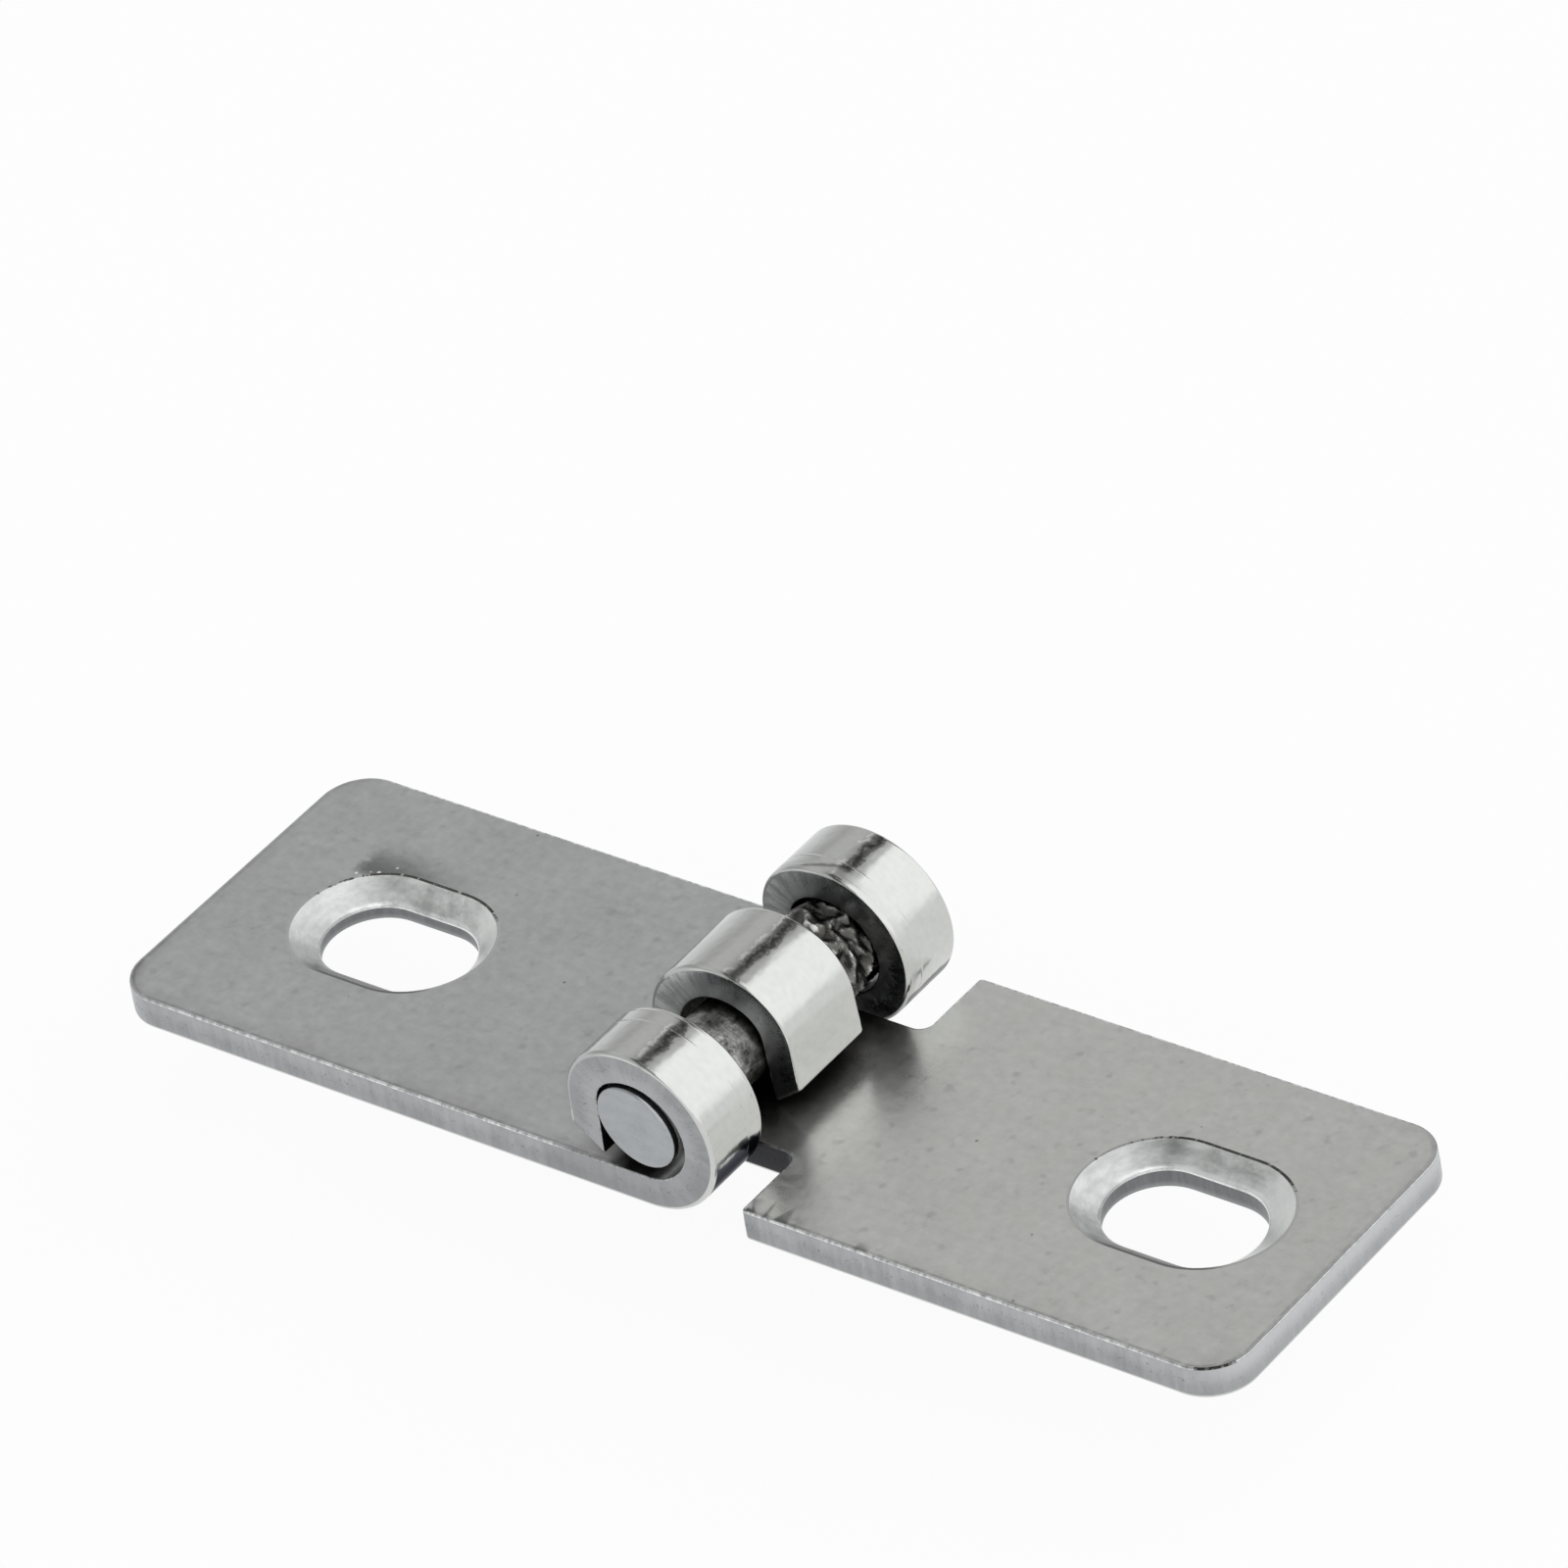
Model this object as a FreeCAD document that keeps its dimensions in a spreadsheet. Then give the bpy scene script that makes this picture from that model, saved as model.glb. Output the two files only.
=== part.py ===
import FreeCAD, Part
import math
import os
import Sketcher

# Cabinet hinge: two leaves stamped from sheet, with knuckles rolled round a loose pin.
# X runs along the open hinge, Y along the pin, and +Z points away from the mounting plane.
# The origin lies on the mounting plane, straight below the pin. All lengths are in millimetres.

# Each driving dimension, with its value in millimetres or degrees
DIMENSIONS = {
    # Sheet and pin
    "sheet_thickness": 2.0,
    "bore_radius": 3.1,
    "pin_radius": 2.5,
    "pin_recess": 0.05,
    "pin_edge": 0.2,
    # Leaves
    "leaf_length": 37.5,
    "leaf_width": 22.0,
    "corner_radius": 2.8,
    "edge_rounding": 0.25,
    # Knuckles, measured along the pin
    "centre_knuckle_width": 5.8,
    "outer_knuckle_width": 4.4,
    # Curl of each knuckle: where it tightens, and the straight end that closes it
    "closing_radius": 2.0,
    "closing_angle": 120.0,
    "end_lean": 3.0,
    "end_slant": 34.0,
    "outer_knuckle_end_gap": 0.75,
    "centre_knuckle_end_gap": 0.12,
    # Steps in the sheet beside the knuckles
    "window_width": 7.6,
    "roll_clearance": 1.2,
    "leg_step_gap": 0.9,
    "tongue_step_gap": 0.35,
    "tongue_side_clearance": 0.75,
    "inner_corner_radius": 0.3,
    "step_corner_radius": 0.5,
    "notch_corner_radius": 0.8,
    # Screw slots
    "slot_length": 9.6,
    "slot_width": 6.2,
    "countersink_depth": 1.0,
    "countersink_spread": 1.5,
    "slot_from_end_two_knuckle": 11.7,
    "slot_from_end_one_knuckle": 10.2,
    # Staking ridges that hold the pin in the far outer knuckle
    "ridge_count": 10,
    "ridge_length": 2.4,
    "ridge_root_width": 0.55,
    "ridge_crest_width": 0.28,
    "ridge_root_depth": 0.3,
    "ridge_bore_gap": 0.01,
    "ridge_showing": 0.5,
}

SHEET_NAME = "Sizes"
TOLERANCE = 1e-4
ORIGIN = (-1, 1)
HORIZONTAL_AXIS = -1
VERTICAL_AXIS = -2
START, END, CENTRE = 1, 2, 3


class Size:
    """A number together with the spreadsheet expression that gives it."""

    def __init__(self, number, text):
        self.number = number
        self.text = text

    def joined(self, other, sign, result):
        """A new size from this one, the sign and the other one."""
        text = other.text if isinstance(other, Size) else repr(other)
        return Size(result, f"({self.text} {sign} {text})")

    def __add__(self, other):
        return self.joined(other, "+", self.number + number_of(other))

    def __sub__(self, other):
        return self.joined(other, "-", self.number - number_of(other))

    def __mul__(self, other):
        return self.joined(other, "*", self.number * number_of(other))

    def __truediv__(self, other):
        return self.joined(other, "/", self.number / number_of(other))

    def __neg__(self):
        return Size(-self.number, f"(-{self.text})")


def number_of(value):
    """The plain number in a size or a number."""
    return value.number if isinstance(value, Size) else value


def make_sheet(doc):
    """Fill the spreadsheet with the driving dimensions and return them as sizes."""
    sheet = doc.addObject("Spreadsheet::Sheet", SHEET_NAME)
    sizes = {}
    for row, (name, value) in enumerate(DIMENSIONS.items(), start=1):
        sheet.set(f"A{row}", name)
        sheet.set(f"B{row}", str(value))
        sheet.setAlias(f"B{row}", name)
        sizes[name] = Size(value, f"{SHEET_NAME}.{name}")
    doc.recompute()
    return sizes


def origin_feature(body, role):
    """The plane or axis of the body's own origin that has this role."""
    return next(feature for feature in body.Origin.OriginFeatures if feature.Role == role)


def add_sketch(body, name, plane, offset=None):
    """A sketch on one of the body's origin planes, moved along the plane's normal by the offset."""
    sketch = body.newObject("Sketcher::SketchObject", name)
    sketch.AttachmentSupport = [(origin_feature(body, plane), "")]
    sketch.MapMode = "FlatFace"
    if offset is not None:
        sketch.setExpression("AttachmentOffset.Base.z", offset.text)
    return sketch


def drive(sketch, constraint, size, unit=""):
    """Add a measured constraint whose value comes from the spreadsheet."""
    index = sketch.addConstraint(constraint)
    sketch.setExpression(f"Constraints[{index}]", size.text + unit)


def place_point(sketch, piece, point, x, y):
    """Tie a point of the outline to its distances from the sketch's origin."""
    drive(sketch, Sketcher.Constraint("DistanceX", *ORIGIN, piece, point, x.number), x)
    drive(sketch, Sketcher.Constraint("DistanceY", *ORIGIN, piece, point, y.number), y)


def add_polygon(sketch, corners):
    """A closed outline of straight lines through the corners, each a pair of sizes."""
    points = [FreeCAD.Vector(x.number, y.number, 0) for x, y in corners]
    lines = [Part.LineSegment(a, b) for a, b in zip(points, points[1:] + points[:1])]
    first = sketch.addGeometry(lines, False)[0]
    count = len(lines)
    for k in range(count):
        sketch.addConstraint(Sketcher.Constraint("Coincident", first + k, END, first + (k + 1) % count, START))
    for k, (x, y) in enumerate(corners):
        place_point(sketch, first + k, START, x, y)


def add_pad(body, name, sketch, length, symmetric=False):
    """Extrude the sketch along its normal."""
    pad = body.newObject("PartDesign::Pad", name)
    pad.Profile = sketch
    pad.SideType = "Symmetric" if symmetric else "One side"
    pad.setExpression("Length", length.text)
    return pad


def edge_names(shape, wanted):
    """The names of the edges of the shape that the test picks."""
    return [f"Edge{k}" for k, edge in enumerate(shape.Edges, start=1) if wanted(edge)]


def add_fillet(body, name, wanted, radius):
    """Round the edges of the body so far that the test picks."""
    body.Document.recompute()
    base = body.Tip
    fillet = body.newObject("PartDesign::Fillet", name)
    fillet.Base = (base, edge_names(base.Shape, wanted))
    fillet.setExpression("Radius", radius.text)
    return fillet


def is_upright_at(spots):
    """A test for straight edges parallel to Z that stand at one of the spots."""
    def wanted(edge):
        start, end = edge.Vertexes[0].Point, edge.Vertexes[-1].Point
        upright = math.hypot(start.x - end.x, start.y - end.y) < TOLERANCE and abs(start.z - end.z) > TOLERANCE
        return upright and any(
            math.hypot(start.x - number_of(x), start.y - number_of(y)) < TOLERANCE for x, y in spots
        )
    return wanted


def both_sides(x, y):
    """The same spot on either side of the leaf's middle line."""
    return [(x, y), (x, -y)]


def cut_slot(body, sizes, from_end):
    """One oblong screw slot through the plate, countersunk on the knuckle side."""
    radius = sizes["slot_width"] / 2
    half_run = (sizes["slot_length"] - sizes["slot_width"]) / 2
    centre_x = from_end - sizes["leaf_length"]
    sketch = add_sketch(body, "SlotOutline", "XY_Plane")
    middle, run, bend = centre_x.number, half_run.number, radius.number
    up = FreeCAD.Vector(0, 0, 1)
    quarter = math.pi / 2
    outer = Part.ArcOfCircle(Part.Circle(FreeCAD.Vector(middle - run, 0, 0), up, bend), quarter, 3 * quarter)
    inner = Part.ArcOfCircle(Part.Circle(FreeCAD.Vector(middle + run, 0, 0), up, bend), -quarter, quarter)
    sides = [
        Part.LineSegment(FreeCAD.Vector(middle - run, -bend, 0), FreeCAD.Vector(middle + run, -bend, 0)),
        Part.LineSegment(FreeCAD.Vector(middle + run, bend, 0), FreeCAD.Vector(middle - run, bend, 0)),
    ]
    sketch.addGeometry([outer, sides[0], inner, sides[1]], False)
    for piece in range(4):
        following = (piece + 1) % 4
        sketch.addConstraint(Sketcher.Constraint("Tangent", piece, END, following, START))
    sketch.addConstraint(Sketcher.Constraint("Equal", 0, 2))
    sketch.addConstraint(Sketcher.Constraint("PointOnObject", 0, CENTRE, HORIZONTAL_AXIS))
    sketch.addConstraint(Sketcher.Constraint("PointOnObject", 2, CENTRE, HORIZONTAL_AXIS))
    drive(sketch, Sketcher.Constraint("Radius", 0, bend), radius)
    drive(sketch, Sketcher.Constraint("DistanceX", *ORIGIN, 0, CENTRE, middle - run), centre_x - half_run)
    drive(sketch, Sketcher.Constraint("DistanceX", *ORIGIN, 2, CENTRE, middle + run), centre_x + half_run)
    pocket = body.newObject("PartDesign::Pocket", "Slot")
    pocket.Profile = sketch
    pocket.Type = "ThroughAll"
    pocket.SideType = "Symmetric"
    body.Document.recompute()

    thickness = sizes["sheet_thickness"].number

    def on_slot_rim(edge):
        near = all(abs(v.Point.x - middle) < run + bend and abs(v.Point.y) < bend + TOLERANCE for v in edge.Vertexes)
        return near and all(abs(v.Point.z - thickness) < TOLERANCE for v in edge.Vertexes)

    countersink = body.newObject("PartDesign::Chamfer", "Countersink")
    countersink.Base = (pocket, edge_names(pocket.Shape, on_slot_rim))
    countersink.ChamferType = "Two distances"
    countersink.setExpression("Size", sizes["countersink_depth"].text)
    countersink.setExpression("Size2", sizes["countersink_spread"].text)
    body.Document.recompute()


def draw_curl(sketch, sizes, end_gap):
    """The section of one knuckle: the strip curls round the bore and ends in a straight, slanted cut.

    The curl starts at the sketch's origin, under the pin, and turns anticlockwise.
    """
    thickness, bore = sizes["sheet_thickness"], sizes["bore_radius"]
    closing, lean = sizes["closing_radius"], sizes["end_lean"]
    turn, slant = sizes["closing_angle"], sizes["end_slant"]
    start_angle = -math.pi / 2
    turn_angle = math.radians(turn.number)
    last_angle = math.pi - math.radians(lean.number)
    axis = FreeCAD.Vector(0, (thickness + bore).number, 0)
    towards_turn = FreeCAD.Vector(math.cos(turn_angle), math.sin(turn_angle), 0)
    towards_last = FreeCAD.Vector(math.cos(last_angle), math.sin(last_angle), 0)
    along_end = FreeCAD.Vector(-math.sin(last_angle), math.cos(last_angle), 0)
    closing_centre = axis + towards_turn * (bore - closing).number
    inner_bend = closing_centre + towards_last * closing.number
    outer_bend = closing_centre + towards_last * (closing + thickness).number
    straight_run = (thickness.number + end_gap.number - inner_bend.y) / along_end.y
    inner_corner = inner_bend + along_end * straight_run
    rise = math.tan(math.radians(slant.number)) * thickness.number
    outer_corner = inner_corner + (outer_bend - inner_bend) - along_end * rise
    up = FreeCAD.Vector(0, 0, 1)
    sheet_top = FreeCAD.Vector(0, thickness.number, 0)
    zero = FreeCAD.Vector(0, 0, 0)

    def arc(centre, radius, first, last):
        return Part.ArcOfCircle(Part.Circle(centre, up, radius.number), first, last)

    pieces = [
        Part.LineSegment(sheet_top, zero),
        arc(axis, bore + thickness, start_angle, turn_angle),
        arc(closing_centre, closing + thickness, turn_angle, last_angle),
        Part.LineSegment(outer_bend, outer_corner),
        Part.LineSegment(outer_corner, inner_corner),
        Part.LineSegment(inner_corner, inner_bend),
        arc(closing_centre, closing, turn_angle, last_angle),
        arc(axis, bore, start_angle, turn_angle),
    ]
    sketch.addGeometry(pieces, False)
    foot, outer_big, outer_small, outer_end, cut, inner_end, inner_small, inner_big = range(8)
    joins = [
        ("Coincident", foot, END, outer_big, START),
        ("Tangent", outer_big, END, outer_small, START),
        ("Tangent", outer_small, END, outer_end, START),
        ("Coincident", outer_end, END, cut, START),
        ("Coincident", cut, END, inner_end, START),
        ("Tangent", inner_end, END, inner_small, END),
        ("Tangent", inner_big, END, inner_small, START),
        ("Coincident", inner_big, START, foot, START),
        ("Coincident", outer_big, CENTRE, inner_big, CENTRE),
        ("Coincident", outer_small, CENTRE, inner_small, CENTRE),
        ("Coincident", foot, END, *ORIGIN),
        ("PointOnObject", inner_big, CENTRE, VERTICAL_AXIS),
        ("Vertical", foot),
        ("Parallel", outer_end, inner_end),
    ]
    for join in joins:
        sketch.addConstraint(Sketcher.Constraint(*join))
    spoke = sketch.addGeometry(Part.LineSegment(axis, axis + towards_turn * bore.number), True)
    sketch.addConstraint(Sketcher.Constraint("Coincident", spoke, START, inner_big, CENTRE))
    sketch.addConstraint(Sketcher.Constraint("Coincident", spoke, END, inner_big, END))
    drive(sketch, Sketcher.Constraint("Distance", foot, thickness.number), thickness)
    drive(sketch, Sketcher.Constraint("Radius", inner_big, bore.number), bore)
    drive(sketch, Sketcher.Constraint("Radius", inner_small, closing.number), closing)
    gap_constraint = Sketcher.Constraint("DistanceY", foot, START, cut, END, end_gap.number)
    drive(sketch, gap_constraint, end_gap)
    drive(sketch, Sketcher.Constraint("Angle", spoke, turn_angle), turn, " * 1 deg")
    end_angle = math.radians(90 - lean.number)
    drive(sketch, Sketcher.Constraint("Angle", inner_end, end_angle), Size(90, "90") - lean, " * 1 deg")
    cut_angle = -math.radians(slant.number)
    drive(sketch, Sketcher.Constraint("Angle", cut, cut_angle), -slant, " * 1 deg")


def is_skin(face, sizes):
    """Whether a face belongs to the sheet's mounting side, flat or rolled."""
    surface = face.Surface
    rolled = (sizes["bore_radius"], sizes["closing_radius"])
    if isinstance(surface, Part.Cylinder):
        along_pin = abs(abs(surface.Axis.y) - 1) < TOLERANCE
        radii = [(radius + sizes["sheet_thickness"]).number for radius in rolled]
        return along_pin and any(abs(surface.Radius - radius) < TOLERANCE for radius in radii)
    if not isinstance(surface, Part.Plane):
        return False
    normal = face.normalAt(0, 0)
    underside = normal.z < TOLERANCE - 1
    leaning = math.radians(sizes["end_lean"].number)
    straight_end = abs(normal.x + math.cos(leaning)) < TOLERANCE and abs(normal.z - math.sin(leaning)) < TOLERANCE
    return underside or (straight_end and face.CenterOfMass.z > sizes["sheet_thickness"].number)


def round_punched_edges(body, sizes):
    """Give the mounting side's rim the rounding that a blanking punch leaves."""
    body.Document.recompute()
    shape = body.Tip.Shape
    uses = {}
    for face in shape.Faces:
        if is_skin(face, sizes):
            for edge in face.Edges:
                uses.setdefault(edge.hashCode(), []).append(edge)
    rim = {code for code, edges in uses.items() if len(edges) == 1}

    def on_rim(edge):
        if edge.hashCode() not in rim:
            return False
        raised = all(v.Point.z > sizes["sheet_thickness"].number for v in edge.Vertexes)
        ends = [v.Point for v in edge.Vertexes]
        across = abs(ends[0].x - ends[-1].x) < TOLERANCE and abs(ends[0].z - ends[-1].z) < TOLERANCE
        return not (raised and across)

    add_fillet(body, "PunchedEdges", on_rim, sizes["edge_rounding"])


def make_body(doc, label):
    """An empty body with its own label."""
    body = doc.addObject("PartDesign::Body", label)
    body.Label = label
    return body


def make_two_knuckle_leaf(doc, sizes):
    """The leaf with an outer knuckle at each end of the pin and a window for the other leaf's knuckle."""
    body = make_body(doc, "two_knuckle_leaf")
    half_width = sizes["leaf_width"] / 2
    half_opening = half_width - sizes["outer_knuckle_width"]
    half_window = sizes["window_width"] / 2
    far = -(sizes["bore_radius"] + sizes["sheet_thickness"] + sizes["roll_clearance"])
    step = -sizes["leg_step_gap"]
    end = -sizes["leaf_length"]
    zero = Size(0.0, "0")
    upper = [
        (end, half_width),
        (zero, half_width),
        (zero, half_opening),
        (step, half_opening),
        (step, half_window),
        (far, half_window),
    ]
    lower = [(x, -y) for x, y in reversed(upper)]
    plan = add_sketch(body, "PlateOutline", "XY_Plane")
    add_polygon(plan, upper + lower)
    add_pad(body, "Plate", plan, sizes["sheet_thickness"])
    add_fillet(body, "OuterCorners", is_upright_at(both_sides(end, half_width)), sizes["corner_radius"])
    inner_corners = both_sides(step, half_opening) + both_sides(far, half_window)
    add_fillet(body, "InnerCorners", is_upright_at(inner_corners), sizes["inner_corner_radius"])
    add_fillet(body, "StepCorners", is_upright_at(both_sides(step, half_window)), sizes["step_corner_radius"])
    section = add_sketch(body, "CurlSection", "XZ_Plane", half_opening)
    draw_curl(section, sizes, sizes["outer_knuckle_end_gap"])
    curl = add_pad(body, "FrontKnuckle", section, sizes["outer_knuckle_width"])
    mirror = body.newObject("PartDesign::Mirrored", "BackKnuckle")
    mirror.Originals = [curl]
    mirror.MirrorPlane = (origin_feature(body, "XZ_Plane"), [""])
    body.Tip = mirror
    round_punched_edges(body, sizes)
    cut_slot(body, sizes, sizes["slot_from_end_two_knuckle"])
    return body


def make_one_knuckle_leaf(doc, sizes):
    """The leaf with the centre knuckle on a tongue, drawn like the other one and turned half round."""
    body = make_body(doc, "one_knuckle_leaf")
    half_width = sizes["leaf_width"] / 2
    half_tongue = half_width - sizes["outer_knuckle_width"] - sizes["tongue_side_clearance"]
    shoulder = -(sizes["bore_radius"] + sizes["sheet_thickness"] + sizes["roll_clearance"])
    step = -sizes["tongue_step_gap"]
    half_knuckle = sizes["centre_knuckle_width"] / 2
    end = -sizes["leaf_length"]
    zero = Size(0.0, "0")
    upper = [
        (end, half_width),
        (shoulder, half_width),
        (shoulder, half_tongue),
        (step, half_tongue),
        (step, half_knuckle),
        (zero, half_knuckle),
    ]
    lower = [(x, -y) for x, y in reversed(upper)]
    plan = add_sketch(body, "PlateOutline", "XY_Plane")
    add_polygon(plan, upper + lower)
    add_pad(body, "Plate", plan, sizes["sheet_thickness"])
    add_fillet(body, "OuterCorners", is_upright_at(both_sides(end, half_width)), sizes["corner_radius"])
    add_fillet(body, "NotchCorners", is_upright_at(both_sides(shoulder, half_tongue)), sizes["notch_corner_radius"])
    add_fillet(body, "InnerCorners", is_upright_at(both_sides(step, half_knuckle)), sizes["inner_corner_radius"])
    section = add_sketch(body, "CurlSection", "XZ_Plane")
    draw_curl(section, sizes, sizes["centre_knuckle_end_gap"])
    add_pad(body, "CentreKnuckle", section, sizes["centre_knuckle_width"], symmetric=True)
    round_punched_edges(body, sizes)
    cut_slot(body, sizes, sizes["slot_from_end_one_knuckle"])
    body.Placement = FreeCAD.Placement(FreeCAD.Vector(0, 0, 0), FreeCAD.Rotation(FreeCAD.Vector(0, 0, 1), 180))
    return body


def make_pin(doc, sizes):
    """The plain pin, with a short ring of staking ridges that grip the far outer knuckle."""
    body = make_body(doc, "hinge_pin")
    radius = sizes["pin_radius"]
    circle = add_sketch(body, "PinSection", "XZ_Plane")
    circle.addGeometry(Part.Circle(FreeCAD.Vector(0, 0, 0), FreeCAD.Vector(0, 0, 1), radius.number), False)
    circle.addConstraint(Sketcher.Constraint("Coincident", 0, CENTRE, *ORIGIN))
    drive(circle, Sketcher.Constraint("Radius", 0, radius.number), radius)
    length = sizes["leaf_width"] - sizes["pin_recess"] * 2
    add_pad(body, "Shank", circle, length, symmetric=True)
    add_fillet(body, "RoundedEnds", lambda edge: isinstance(edge.Curve, Part.Circle), sizes["pin_edge"])
    root = radius - sizes["ridge_root_depth"]
    crest = sizes["bore_radius"] - sizes["ridge_bore_gap"]
    half_root = sizes["ridge_root_width"] / 2
    half_crest = sizes["ridge_crest_width"] / 2
    inner_end = sizes["leaf_width"] / 2 - sizes["outer_knuckle_width"] - sizes["ridge_showing"]
    section = add_sketch(body, "RidgeSection", "XZ_Plane", -(inner_end + sizes["ridge_length"]))
    corners = [(root, -half_root), (crest, -half_crest), (crest, half_crest), (root, half_root)]
    add_polygon(section, corners)
    ridge = add_pad(body, "Ridge", section, sizes["ridge_length"])
    ring = body.newObject("PartDesign::PolarPattern", "StakedRidges")
    ring.Originals = [ridge]
    ring.Axis = (origin_feature(body, "Y_Axis"), [""])
    ring.Angle = 360
    ring.setExpression("Occurrences", sizes["ridge_count"].text)
    body.Tip = ring
    body.setExpression("Placement.Base.z", (sizes["bore_radius"] + sizes["sheet_thickness"]).text)
    return body


def check(doc, bodies):
    """Stop if any object failed or any body has no sound solid."""
    for item in doc.Objects:
        if "Invalid" in item.State or "Error" in item.State:
            raise RuntimeError(f"{item.Name} did not build: {item.State}")
    for body in bodies:
        shape = body.Shape
        if shape.isNull() or not shape.isValid() or len(shape.Solids) != 1:
            raise RuntimeError(f"{body.Label} is not one sound solid")


def main():
    """Build the hinge and write each of its pieces as a STEP file."""
    doc = FreeCAD.newDocument("CabinetHinge")
    sizes = make_sheet(doc)
    bodies = [
        make_two_knuckle_leaf(doc, sizes),
        make_one_knuckle_leaf(doc, sizes),
        make_pin(doc, sizes),
    ]
    doc.recompute()
    check(doc, bodies)
    os.makedirs("parts", exist_ok=True)
    for body in bodies:
        body.Shape.exportStep(os.path.join("parts", f"{body.Label}.step"))
        box = body.Shape.optimalBoundingBox(False, False)
        print(f"{body.Label}: {body.Shape.Volume:.1f} mm3, X {box.XMin:.2f} to {box.XMax:.2f},"
              f" Y {box.YMin:.2f} to {box.YMax:.2f}, Z {box.ZMin:.2f} to {box.ZMax:.2f}")


main()
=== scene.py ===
import math

import bpy
import numpy as np
from mathutils import Matrix, Vector, noise
from mathutils.geometry import delaunay_2d_cdt


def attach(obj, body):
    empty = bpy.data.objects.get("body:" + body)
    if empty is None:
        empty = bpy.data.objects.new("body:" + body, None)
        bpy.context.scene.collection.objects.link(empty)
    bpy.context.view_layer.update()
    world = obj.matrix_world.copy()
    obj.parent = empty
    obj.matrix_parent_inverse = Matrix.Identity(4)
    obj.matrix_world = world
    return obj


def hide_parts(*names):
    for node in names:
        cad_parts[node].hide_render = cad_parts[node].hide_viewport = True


# The steel looks of the cabinet hinge, with its studio and the photo's camera.
# Shapes are worked out in millimetres and scaled to metres when a mesh is made.
MM = 0.001

# Sheet and roll
SHEET = 2.0
BORE = 3.1
CLOSING_RADIUS = 2.0
CLOSING_ANGLE = 120.0
END_LEAN = 3.0
OUTER_END_GAP = 0.52
OUTER_END_SLANT = 40.0
CENTRE_END_GAP = 0.12
CENTRE_END_SLANT = 34.0

# Blanks
LEAF_LENGTH = 37.5
HALF_WIDTH = 11.0
CORNER_RADIUS = 2.8
SHOULDER = 6.3
HALF_OPENING = 6.6
HALF_WINDOW = 3.8
LEG_STEP = 0.9
HALF_TONGUE = 5.85
TONGUE_STEP = 0.35
HALF_KNUCKLE = 2.9
INNER_CORNER = 0.3
STEP_CORNER = 0.5
NOTCH_CORNER = 0.8
SMALL_CORNER = 0.3

# Screw slots
SLOT_RADIUS = 3.1
SLOT_HALF_RUN = 1.7
SLOT_FROM_END_TWO = 11.7
SLOT_FROM_END_ONE = 10.2

# Punched rims
ROUNDING = 0.25
ROUNDING_STEPS = 5
RIM_RADIUS = 0.09
RIM_FOOT = 0.06
TORN_DEPTH = 0.03
BURR_HEIGHT = 0.06
BURR_WOBBLE = 0.028
COINED_FOOT = 0.16
LIP_RADIUS = 0.3

# Pin
PIN_RADIUS = 2.5
PIN_HALF_LENGTH = 10.95
PIN_EDGE = 0.2
PIN_LEAN = (-0.17, 0.13)
PIN_OVAL = 0.17
PIN_OVAL_ANGLE = 135.0
PIN_OVAL_END = -7.5
PIN_END_DOME = 0.02
RIDGE_CREST = 3.04
STAKED_START = 3.2
STAKED_END = 8.5

# Mesh fineness, and the angles in degrees over which an edge is drawn sharp
CURL_STEP = 0.2
EDGE_STEP = 0.4
FACE_STEP = 1.3
ARC_STEP = 6.0
PIN_SIDES = 120
LEAF_CREASE = 38
PIN_CREASE = 50

# Marks, a dark patch and a streak that is partly painted reflection, on a leaf or along its blank
PATCH_START = -31.9
PATCH_CORE_END = -29.9
PATCH_END = -22.5
PATCH_REACH = 3.3
STREAK_ANGLE = 76.5
DIE_LINES = (6.95, 7.9)
SCAR_ANGLES = (110.0, 153.0)

# Colours that come back
# Painted shade for hollows, gaps and the inside of the roll
PAINTED_SHADE = (0.035, 0.034, 0.032)
# Deeper painted shade for the edges below the roll
DEEP_PAINTED_SHADE = (0.016, 0.016, 0.019)
# Painted highlights: the specks by the left slot and the line beside the streak
PAINTED_GLINT = (0.97, 0.97, 0.96)
# Painted highlight for the countersinks
PAINTED_HIGHLIGHT = (0.97, 0.98, 0.97)

# Materials in the order of a leaf's slots, and of the pin's
KNUCKLE_SIDE, MOUNTING_SIDE, EDGE, BURR, THROAT_WALL, COUNTERSINK, RIM, SCAR = range(8)
SHANK, PIN_END, STAKED = range(3)


def spoke(degrees):
    """Unit vector in the section of the roll, at this angle from the open leaf's direction."""
    return Vector((math.cos(math.radians(degrees)), math.sin(math.radians(degrees))))


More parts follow.
